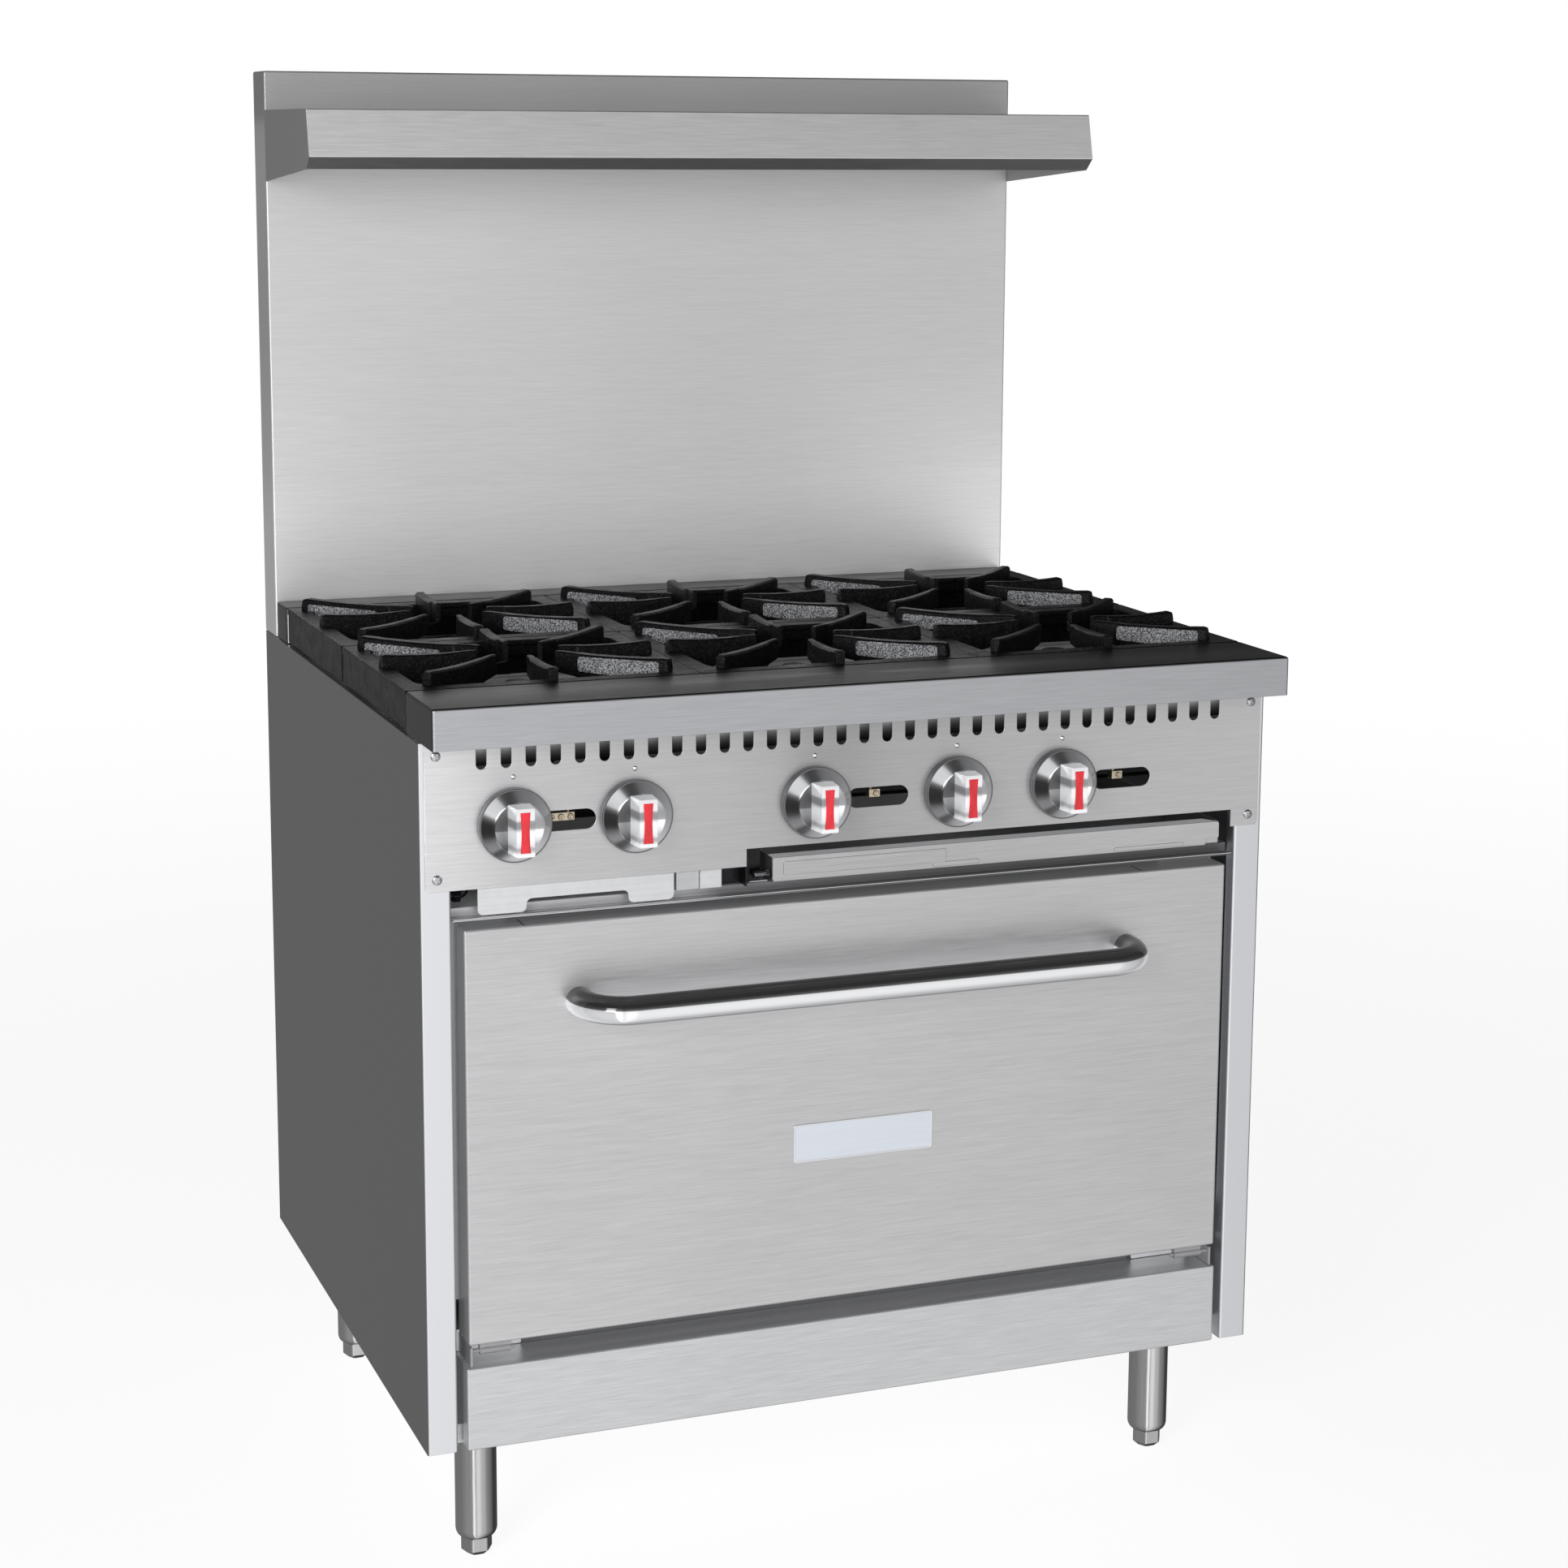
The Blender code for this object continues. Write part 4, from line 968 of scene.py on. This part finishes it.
# ---------------------------------------------------------------- crumb tray
def crumb_tray():
    """Pan with a flange along its front edge, and a step at the front's lower right corner."""
    low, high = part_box("crumb_tray")
    floor = low.z
    shape = made(shell, (low.x, low.y + 0.0022, floor), high, ("z", 1), 0.0016, SHEET, 3)
    outline = fillet([(low.x + 0.0005, floor - 0.0004), (high.x - 0.0155, floor - 0.0004),
                      (high.x - 0.0155, floor + 0.0058), (high.x - 0.0005, floor + 0.0058),
                      (high.x - 0.0005, high.z), (low.x + 0.0005, high.z)], 0.0024, closed=True)
    plate(shape, [outline], SHEET, upright(low.y + 0.0008), 0.0004)
    piece("crumb_tray_pan", shape, "tray", "crumb_tray", ["crumb_tray"])
    outline = fillet([(low.x + 0.001, low.y + SHEET), (high.x - 0.001, low.y + SHEET),
                      (high.x - 0.012, low.y + 0.0187), (low.x + 0.001, low.y + 0.0187)], 0.002, closed=True)
    shape = made(plate, [outline], SHEET, level(high.z), 0.0004)
    piece("crumb_tray_flange", shape, "flange", "crumb_tray", bevel=0)
    shape = bmesh.new()
    for left, right, base, top in ((low.x + 0.012, low.x + 0.190, 0.0055, 0.0195),
                                   (0.083, 0.135, 0.0010, 0.0060), (0.290, 0.372, 0.0008, 0.0050)):
        boss = round_rect((left, floor + base), (right, floor + top), 0.002)
        plate(shape, [boss], 0.0010, upright(low.y + 0.0001), 0.0005, 3)
    piece("crumb_tray_bosses", shape, "tray", "crumb_tray", bevel=0)


# ---------------------------------------------------------------- knobs
def knob(name):
    """Collar, cone and face, turned; then the grip with its red insert."""
    low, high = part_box(name)
    x = knob_x(name)
    base, tip = PANEL_FACE - 0.0006, low.y
    radius = (high.x - low.x) / 2
    face, collar = -0.020, -0.0085
    shaft = [(0, high.y - base), (0.0040, high.y - base), (0.0040, 0), (radius, 0)]
    rim = arc((radius - 0.0008, collar + 0.0008), 0.0008, 0, -90, 3)
    brow = arc((0.0252, face + 0.0010), 0.0010, -30, -90, 3)
    profiles = {
        "collar": shaft + rim + [(0, collar)],
        "cone": [(0, collar + 0.0002), (radius - 0.0014, collar + 0.0002)] + brow + [(0, face)],
        "face": [(0, face), (0.0243, face), (0.0243, face - 0.0003), (0.0240, face - 0.0006),
                 (0, face - 0.0006)]}
    for part, profile in profiles.items():
        shape = made(lathe, profile, "y", (x, base, KNOB_Z), 72)
        piece(f"{name}_{part}", shape, part, name, [name] if part == "collar" else (), 0, 30)

    half, reach = 0.0092, 0.0240
    stations = [(base + face, 0.0026), (base + face - 0.003, 0.0020), (tip, 0.0)]
    shape = bmesh.new()
    rings = []
    for y, spread in stations:
        outline = round_rect((x - half - spread, KNOB_Z - reach), (x + half + spread, KNOB_Z + reach),
                             0.0014, 3)
        rings.append([shape.verts.new((point.x, y, point.y)) for point in outline])
    skin(shape, rings)
    item = piece(name + "_grip", shape, "grip", name, bevel=0.0007)

    pocket = round_rect((x - 0.0056, KNOB_Z - 0.0200), (x + 0.0056, KNOB_Z + 0.0200), 0.0012, 3)
    carve(item, made(prism, pocket, "y", tip - 0.001, tip + 0.0012))
    waist = [(x + side * (0.0050 - 0.0010 * math.cos(math.pi * step / 12)), KNOB_Z + side * step * 0.0033)
             for side in (1, -1) for step in range(-6, 7)]
    shape = made(plate, [waist], 0.0016, upright(tip + 0.0002), 0.0005, 3)
    piece(name + "_insert", shape, "red", name, bevel=0)


# ---------------------------------------------------------------- pilot fittings behind the panel
def pilot(number, x):
    """A pilot valve bar with its adjusting screws, on a thin tube, behind a sight slot."""
    y = PANEL_FACE + 0.012
    z = KNOB_Z + 0.001
    half = 0.0140 if number == 1 else 0.0060
    shape = made(block, (x - half, y, z - 0.0042), (x + half, y + 0.010, z + 0.0042))
    for place in ((-0.0095, 0.0, 0.0095) if number == 1 else (0.001,)):
        lathe(shape, [(0, 0.0002), (0.0031, 0.0002), (0.0031, -0.0012), (0.0024, -0.0020),
                      (0.0012, -0.0020), (0.0009, -0.0010), (0, -0.0010)], "y", (x + place, y, z), 20)
    for place in ((-0.0105, 0.0085) if number == 1 else (-0.003,)):
        lathe(shape, [(0, 0), (0.0020, 0), (0.0020, 0.0045), (0, 0.0045)], "z",
              (x + place, y + 0.005, z + 0.004), 6)
    piece(f"pilot_bar_{number}", shape, "brass", "root", bevel=0.0004)
    path = [(x - 0.003, y + 0.006, z + 0.006), (x - 0.004, y + 0.006, z + 0.030),
            (x - 0.004, y + 0.030, z + 0.046), (x - 0.004, y + 0.060, z + 0.052)]
    shape = made(tube, path, 0.0022, 12)
    piece(f"pilot_tube_{number}", shape, "plated", "root", bevel=0)


def deck_fittings():
    """What shows between the panel and the deck: two pads, a bay whose shadow is painted on a black plate,
    with a nipple, a strip of painted light on the deck, and an elbow.
    """
    face = FRONT + 0.006
    deck_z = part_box("oven_top_plate")[1].z
    pads = ((-0.1955, -0.1712, "mill"), (-0.1704, -0.1475, "pale"))
    for number, (left, right, look) in enumerate(pads, start=1):
        shape = made(block, (left, face, deck_z + 0.0002), (right, face + 0.022, 0.7380))
        piece(f"bracket_pad_{number}", shape, look, "root", bevel=0.0008)
    # Painted shadow: a black plate fills the bay.
    shape = made(block, (-0.1465, face + 0.014, deck_z + 0.0002), (-0.1020, face + 0.0155, 0.7385))
    block(shape, (-0.1240, face - 0.004, deck_z + 0.0002), (-0.1225, face + 0.0138, 0.7385))
    piece("bay_painted_shadow", shape, "dark", "root", bevel=0)
    # Painted light: a pale strip on the deck that glows.
    outline = [(-0.1150, FRONT + 0.0170), (-0.0950, FRONT + 0.0170), (-0.0950, FRONT + 0.0195),
               (-0.1110, FRONT + 0.0195)]
    shape = made(plate, [outline], 0.0004, level(deck_z + 0.0006), 0.0001)
    piece("deck_painted_light", shape, "cover", "root", bevel=0)
    centre = (FRONT + 0.0125, deck_z + 0.0090)
    shape = made(tube, [(-0.1120, *centre), (-0.0960, *centre)], 0.0042, 20)
    prism(shape, arc(centre, 0.0062, 0, 300, 5), "x", -0.1010, -0.0965)
    # Painted shade: the nipple takes the dark collar finish.
    piece("pilot_nipple", shape, "collar", "root", bevel=0.0004)
    path = fillet([(-0.4215, 0.7120), (-0.4060, 0.7120), (-0.4060, 0.7500)], 0.008)
    shape = made(tube, [(x, FRONT + 0.024, z) for x, z in path], 0.0048, 16)
    prism(shape, arc((FRONT + 0.024, 0.7120), 0.0078, 0, 300, 5), "x", -0.4190, -0.4115)
    piece("gas_elbow", shape, "dark", "root", bevel=0.0005)


def door_seams():
    """Where the folded corners of the door skin meet, on its top face."""
    low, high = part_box("door_shell")
    shape = bmesh.new()
    for x in (-0.354, 0.317):
        block(shape, (x - 0.0006, low.y + 0.002, high.z - 0.0004),
              (x + 0.0006, high.y - 0.001, high.z + 0.0001))
    piece("door_seams", shape, "dark", "door", bevel=0)


def hinge_plates():
    """Between the door and the kick panel: a pale plate behind each hinge, and the toe board."""
    rear = FRONT + 0.0455
    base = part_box("kick_panel")[1].z + 0.0006
    # Painted light: the pale plates glow.
    for name, left, right in (("left", -0.4150, -0.3480), ("right", 0.3400, 0.4050)):
        shape = made(plate, [round_rect((left, base), (right, 0.2588), 0.0015)], SHEET, upright(rear))
        piece(f"hinge_cover_{name}", shape, "cover", "root", bevel=0)
    # Painted shade: the toe board is a darker copy of the mill sheet.
    board = round_rect((-0.3470, 0.1750), (0.3390, 0.2600), 0.002)
    shape = made(plate, [board], PLATE, upright(rear + 0.0080))
    piece("toe_board", shape, "toe", "root", bevel=0)
    # Painted light: strips of the oven front beside the door glow.
    shape = bmesh.new()
    for side in (-1, 1):
        ends = sorted((side * 0.3600, side * 0.4230))
        block(shape, (ends[0], rear - 0.0003, 0.2910), (ends[1], rear + 0.0003, 0.6880))
    piece("oven_front_trim", shape, "trim", "root", bevel=0)


# ---------------------------------------------------------------- grates
def blade(shape, turn, start, length, deep, wide):
    """One cast finger, from its root at the rim to its tip near the middle."""
    stations = ((0.0, 0.75, -0.008), (0.015, 0.92, -0.001), (0.05, 1.0, 0.0), (0.20, 1.0, -0.0012),
                (0.45, 0.97, -0.0022), (0.70, 0.92, -0.0020), (0.80, 0.90, -0.0014),
                (0.815, 0.62, -0.0014), (0.95, 0.56, -0.0006), (1.0, 0.50, -0.0010))
    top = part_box("grate_1")[1].z
    rings = []
    for share, width, rise in stations:
        drop = deep * (1 - max(0.0, (share - 0.22) / 0.78) * 0.62)
        low = COOKTOP - drop
        high = top + rise
        half = wide * width
        round_off = min(half * 0.4, 0.0018)
        section = [(-half * 0.75, low), (half * 0.75, low), (half, low + 0.002), (half, high - round_off),
                   (half - round_off, high), (-half + round_off, high), (-half, high - round_off),
                   (-half, low + 0.002)]
        rings.append([shape.verts.new(turn @ Vector((start - length * share, across, z)))
                      for across, z in section])
    skin(shape, rings)


def drawn_in(low, high, inset, radius, steps):
    """Outline of a box seen from above, this far inside its edges."""
    return round_rect((low.x + inset, low.y + inset), (high.x - inset, high.y - inset), radius, steps)


def grate(name):
    """Cast grate: flat rim with rounded inside corners, a skirt, fingers and lugs."""
    low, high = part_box(name)
    bottom = BODY_TOP + 0.0035
    rim, skirt = 0.020, 0.006
    outer = drawn_in(low, high, 0.0002, 0.003, 3)
    window = drawn_in(low, high, rim, 0.030, 8)
    shape = made(plate, [outer, window[::-1]], 0.0075, level(COOKTOP), 0.0014, 3)
    wall = [drawn_in(low, high, 0.0008, 0.003, 3), drawn_in(low, high, skirt, 0.004, 3)[::-1]]
    plate(shape, wall, COOKTOP - 0.005 - bottom, level(COOKTOP - 0.005), 0.0008)
    lip = drawn_in(low, high, rim - 0.005, 0.032, 8)
    plate(shape, [lip, window[::-1]], 0.012, level(COOKTOP - 0.004), 0.0010)

    half_x, half_y = (high.x - low.x) / 2, (high.y - low.y) / 2
    centre = Matrix.Translation(((low.x + high.x) / 2, (low.y + high.y) / 2, 0))
    for number in range(8):
        angle = number * math.pi / 4
        start, wide, deep = (half_x if number % 4 == 0 else half_y) - 0.008, 0.0055, 0.024
        if number % 2:
            angle = math.atan2(math.copysign(half_y, math.sin(angle)),
                               math.copysign(half_x, math.cos(angle)))
            start = math.hypot(half_x, half_y) - {1: 0.036, 3: 0.022, 5: 0.036, 7: 0.034}[number]
            wide = 0.0055 if number % 4 == 1 else 0.0068
        blade(shape, centre @ Matrix.Rotation(angle, 4, "Z"), start, start - 0.044, deep, wide)
    for x in (low.x + 0.020, high.x - 0.020):
        for y in (low.y + 0.0004, high.y - skirt - 0.0004):
            block(shape, (x - 0.010, y, low.z), (x + 0.010, y + skirt, bottom + 0.004))
    piece(name + "_casting", shape, "iron", name, [name], 0.0004)

    # Pale patches of painted highlight on the sides of two diagonal fingers.
    shape = bmesh.new()
    start = math.hypot(half_x, half_y) - 0.020
    slope = math.atan2(half_y, half_x)
    for angle, side, ends, tops in ((math.pi - slope, 1, (0.012, 0.100), (0.9175, 0.9150)),
                                    (-slope, -1, (0.024, 0.114), (0.9195, 0.9190))):
        turn = centre @ Matrix.Rotation(angle, 4, "Z")
        base = 0.9000 if side > 0 else 0.8990
        outline = fillet([(start - ends[0], base), (start - ends[0], tops[0]), (start - ends[1], tops[1]),
                          (start - ends[1], base + 0.0050)], 0.0035, closed=True, steps=5)
        begin = len(shape.verts)
        prism(shape, outline, "y", *sorted((side * 0.0060, side * 0.0078)))
        shape.verts.ensure_lookup_table()
        bmesh.ops.transform(shape, matrix=turn, verts=shape.verts[begin:])
    piece(name + "_skin", shape, "painted_glint", name, bevel=0.0005)


def burner(name):
    """Round cast burner head with flame ports, a bowl and a venturi tube."""
    low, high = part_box(name)
    x, y = (low.x + min(high.x, low.x + 0.092)) / 2, high.y - 0.046
    profile = [(0, high.z), (0.012, high.z), (0.019, 0.8825), (0.0205, 0.8815), (0.040, 0.8805),
               (0.0445, 0.8785), (0.046, 0.873), (0.046, 0.858), (0.044, 0.855), (0.030, 0.844),
               (0.022, 0.830), (0.020, low.z), (0, low.z)]
    shape = made(lathe, profile, "z", (x, y, 0), 48)
    venturi = high.x - 0.0135 if high.x - low.x > 0.1 else x
    tube_z = 0.834
    tube(shape, [(venturi, low.y, tube_z), (venturi, low.y + 0.03, tube_z), (venturi, y, tube_z)],
         0.0135, 20)
    if venturi != x:
        tube(shape, [(x, y, tube_z), (venturi + 0.008, y, tube_z)], 0.0108, 20)
    item = piece(name + "_casting", shape, "iron", "root", [name], 0)
    ports = bmesh.new()
    count = 24
    for step in range(count):
        spin = (Matrix.Translation((x, y, 0.8755)) @ Matrix.Rotation(2 * math.pi * step / count, 4, "Z")
                @ Matrix.Translation((0.046, 0, 0)) @ Matrix.Diagonal((0.010, 0.0022, 0.0040, 1)))
        bmesh.ops.create_cube(ports, size=1.0, matrix=spin)
    carve(item, ports)


# ---------------------------------------------------------------- legs
def leg(number):
    low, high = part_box(f"leg_{number}")
    x, y = (low.x + high.x) / 2, (low.y + high.y) / 2
    radius = (high.x - low.x) / 2
    shoulder = [(radius - 0.0055 + 0.0055 * math.cos(math.radians(angle)),
                 low.z + 0.0085 - 0.0085 * math.sin(math.radians(angle))) for angle in range(0, 75, 12)]
    profile = [(0, high.z), (radius, high.z)] + shoulder + [(radius - 0.0050, low.z), (0.0108, low.z),
                                                            (0.0108, 0.066), (0, 0.066)]
    shape = made(lathe, profile, "z", (x, y, 0), 56)
    piece(f"leg_{number}_tube", shape, "leg", "root", [f"leg_{number}"], 0)

    foot_low, foot_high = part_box(f"foot_{number}")
    wide = (foot_high.x - foot_low.x) / 2
    top = low.z - 0.0005
    shape = bmesh.new()
    rings = []
    for radius, z in ((wide - 0.0060, foot_low.z), (wide - 0.0002, 0.0052), (wide - 0.0002, top - 0.0008),
                      (wide - 0.0010, top)):
        rings.append([shape.verts.new((x + point.x, y + point.y, z))
                      for point in fillet(arc((0, 0), radius, 0, 300, 5), 0.0035, True, 4)])
    skin(shape, rings)
    lathe(shape, [(0, top - 0.001), (0.0098, top - 0.001), (0.0098, foot_high.z), (0, foot_high.z)],
          "z", (x, y, 0), 32)
    piece(f"foot_{number}_nut", shape, "leg", f"foot_{number}", [f"foot_{number}"], 0, 25)


# ---------------------------------------------------------------- oven rack
def oven_rack():
    low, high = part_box("oven_rack")
    frame_radius, wire_radius = 0.0040, 0.0025
    z = low.z + frame_radius
    shape = bmesh.new()
    for x in (low.x + frame_radius, high.x - frame_radius):
        tube(shape, [(x, low.y, z), (x, high.y, z)], frame_radius, 16)
    for y in (low.y + 0.006, (low.y + high.y) / 2, high.y - 0.006):
        tube(shape, [(low.x + 0.003, y, z), (high.x - 0.003, y, z)], frame_radius - 0.0006, 16)
    wires = 23
    for index in range(wires):
        x = low.x + (high.x - low.x) * (index + 1) / (wires + 1)
        height = high.z - wire_radius
        tube(shape, [(x, low.y + 0.004, height), (x, high.y - 0.004, height)], wire_radius, 12)
    piece("oven_rack_wires", shape, "wire", "oven_rack", ["oven_rack"], 0)


# ---------------------------------------------------------------- studio
def floor():
    """Pale floor that fades into the backdrop."""
    shape = bmesh.new()
    bmesh.ops.create_circle(shape, cap_ends=True, radius=9.0, segments=96)
    item = placed("studio_floor", shape)
    item.location.z = -0.0005
    item.visible_glossy = False
    material = bpy.data.materials.new("studio_floor")
    material.use_nodes = True
    nodes = Nodes(material.node_tree)
    nodes.tree.nodes.clear()
    from_middle = nodes.combine("VectorMath", nodes.add("TexCoord").outputs["Object"], operation="LENGTH")
    fade = nodes.spread(from_middle.outputs["Value"], 0.0, 1.0, 1.2, 5.0, interpolation_type="SMOOTHSTEP")
    diffuse = nodes.shader_node("BsdfDiffuse", Color=(0.22, 0.22, 0.22, 1.0))
    glow = nodes.shader_node("Emission", Color=(1.0, 1.0, 1.0, 1.0), Strength=0.90)
    both = nodes.combine("AddShader", diffuse, glow).outputs[0]
    mixed = nodes.combine("MixShader", fade, both, nodes.shader_node("BsdfTransparent"))
    nodes.combine("OutputMaterial", mixed.outputs[0])
    item.data.materials.append(material)


# Half the brightness of the studio round the object, by bearing in degrees: 0 is in front of it
# and positive is to its right. Then a factor by height, from straight down to straight up.
WALLS = ((-180, 0.115), (-150, 0.130), (-100, 0.15), (-64, 0.22), (-48, 0.22), (-34, 0.22), (-29, 0.85),
         (-22, 0.85), (-17, 0.32), (-8, 0.60), (8, 0.60), (15, 0.42), (34, 0.37), (45, 0.22), (75, 0.12),
         (95, 0.03), (150, 0.05), (180, 0.115))
HEIGHTS = ((-1, 0.8), (-0.45, 1.0), (0.36, 1.0), (0.52, 0.20), (0.7, 0.10), (1.0, 0.08))


def world():
    """White backdrop; the object itself is lit by softboxes in front and darker walls behind."""
    scene = bpy.context.scene
    scene.world = bpy.data.worlds.new("studio")
    scene.world.use_nodes = True
    nodes = Nodes(scene.world.node_tree)
    nodes.tree.nodes.clear()

    def ramp(source, stops):
        low, high = stops[0][0], stops[-1][0]
        node = nodes.combine("ValToRGB", nodes.spread(source, 0.0, 1.0, low, high))
        elements = node.color_ramp.elements
        while len(elements) < len(stops):
            elements.new(0.5)
        for element, (place, value) in zip(elements, stops):
            element.position = (place - low) / (high - low)
            element.color = (value, value, value, 1.0)
        return node.outputs["Color"]

    place = nodes.add("TexCoord").outputs["Generated"]
    ahead = nodes.combine("Math", nodes.axis(place, "Y"), operation="MULTIPLY")
    ahead.inputs[1].default_value = -1.0
    around = ramp(nodes.bearing(nodes.axis(place, "X"), ahead.outputs[0]), WALLS)
    light = nodes.combine("VectorMath", around, ramp(nodes.axis(place, "Z"), HEIGHTS), operation="MULTIPLY")
    room = nodes.combine("Background", light.outputs["Vector"])
    room.inputs["Strength"].default_value = 2.0
    backdrop = nodes.shader_node("Background", Color=(1.0, 1.0, 1.0, 1.0))
    seen = nodes.add("LightPath").outputs["Is Camera Ray"]
    mixed = nodes.combine("MixShader", seen, room.outputs[0], backdrop)
    nodes.combine("OutputWorld", mixed.outputs[0])


def key_light():
    """A softbox on the left, in front."""
    data = bpy.data.lights.new("key_light", "AREA")
    data.shape, data.size, data.size_y = "RECTANGLE", 1.0, 1.4
    data.energy = 45
    item = placed("key_light", data)
    item.location = (-2.3, -2.6, 1.7)
    item.rotation_euler = (Vector((0, 0, 0.9)) - item.location).to_track_quat("-Z", "Y").to_euler()


def camera():
    """The photographer's place, turn and lens, solved from the object's own edges."""
    yaw, pitch, roll = 0.36297, 0.16821, 0.0052
    ahead = Vector((math.sin(yaw) * math.cos(pitch), math.cos(yaw) * math.cos(pitch), -math.sin(pitch)))
    right = Vector((math.cos(yaw), -math.sin(yaw), 0))
    up = right.cross(ahead)
    side = right * math.cos(roll) + up * math.sin(roll)
    top = up * math.cos(roll) - right * math.sin(roll)
    data = bpy.data.cameras.new("camera")
    data.sensor_width = 36.0
    data.lens = 70.28
    data.shift_y = -0.0802
    data.clip_start = 0.01
    item = placed("camera", data)
    matrix = Matrix((side, top, -ahead)).transposed().to_4x4()
    matrix.translation = (-1.1441, -3.1168, 1.4366)
    item.matrix_world = matrix
    bpy.context.scene.camera = item


# ---------------------------------------------------------------- assembly
side_panel("side_panel_left", -1)
side_panel("side_panel_right", 1)
rail("front_rail", 1)
rail("rear_rail", -1)
control_panel()
vent_baffle()
dimples()
panel_screws()
valve_bracket()
deck()
kick_panel()
backguard()
high_shelf()
door()
crumb_tray()
for knob_name in KNOBS:
    knob(knob_name)
for number, end in enumerate(SIGHT_ENDS, start=1):
    pilot(number, end - 0.032)
for grate_name in GRATES:
    grate(grate_name)
    burner(grate_name.replace("grate", "burner"))
deck_fittings()
door_seams()
hinge_plates()
for number in range(1, 5):
    leg(number)
oven_rack()
for node_name, node in frame["nodes"].items():
    if not node.hide_render:
        show_node(node_name)

floor()
world()
key_light()
camera()
bpy.context.scene.view_settings.view_transform = "Standard"
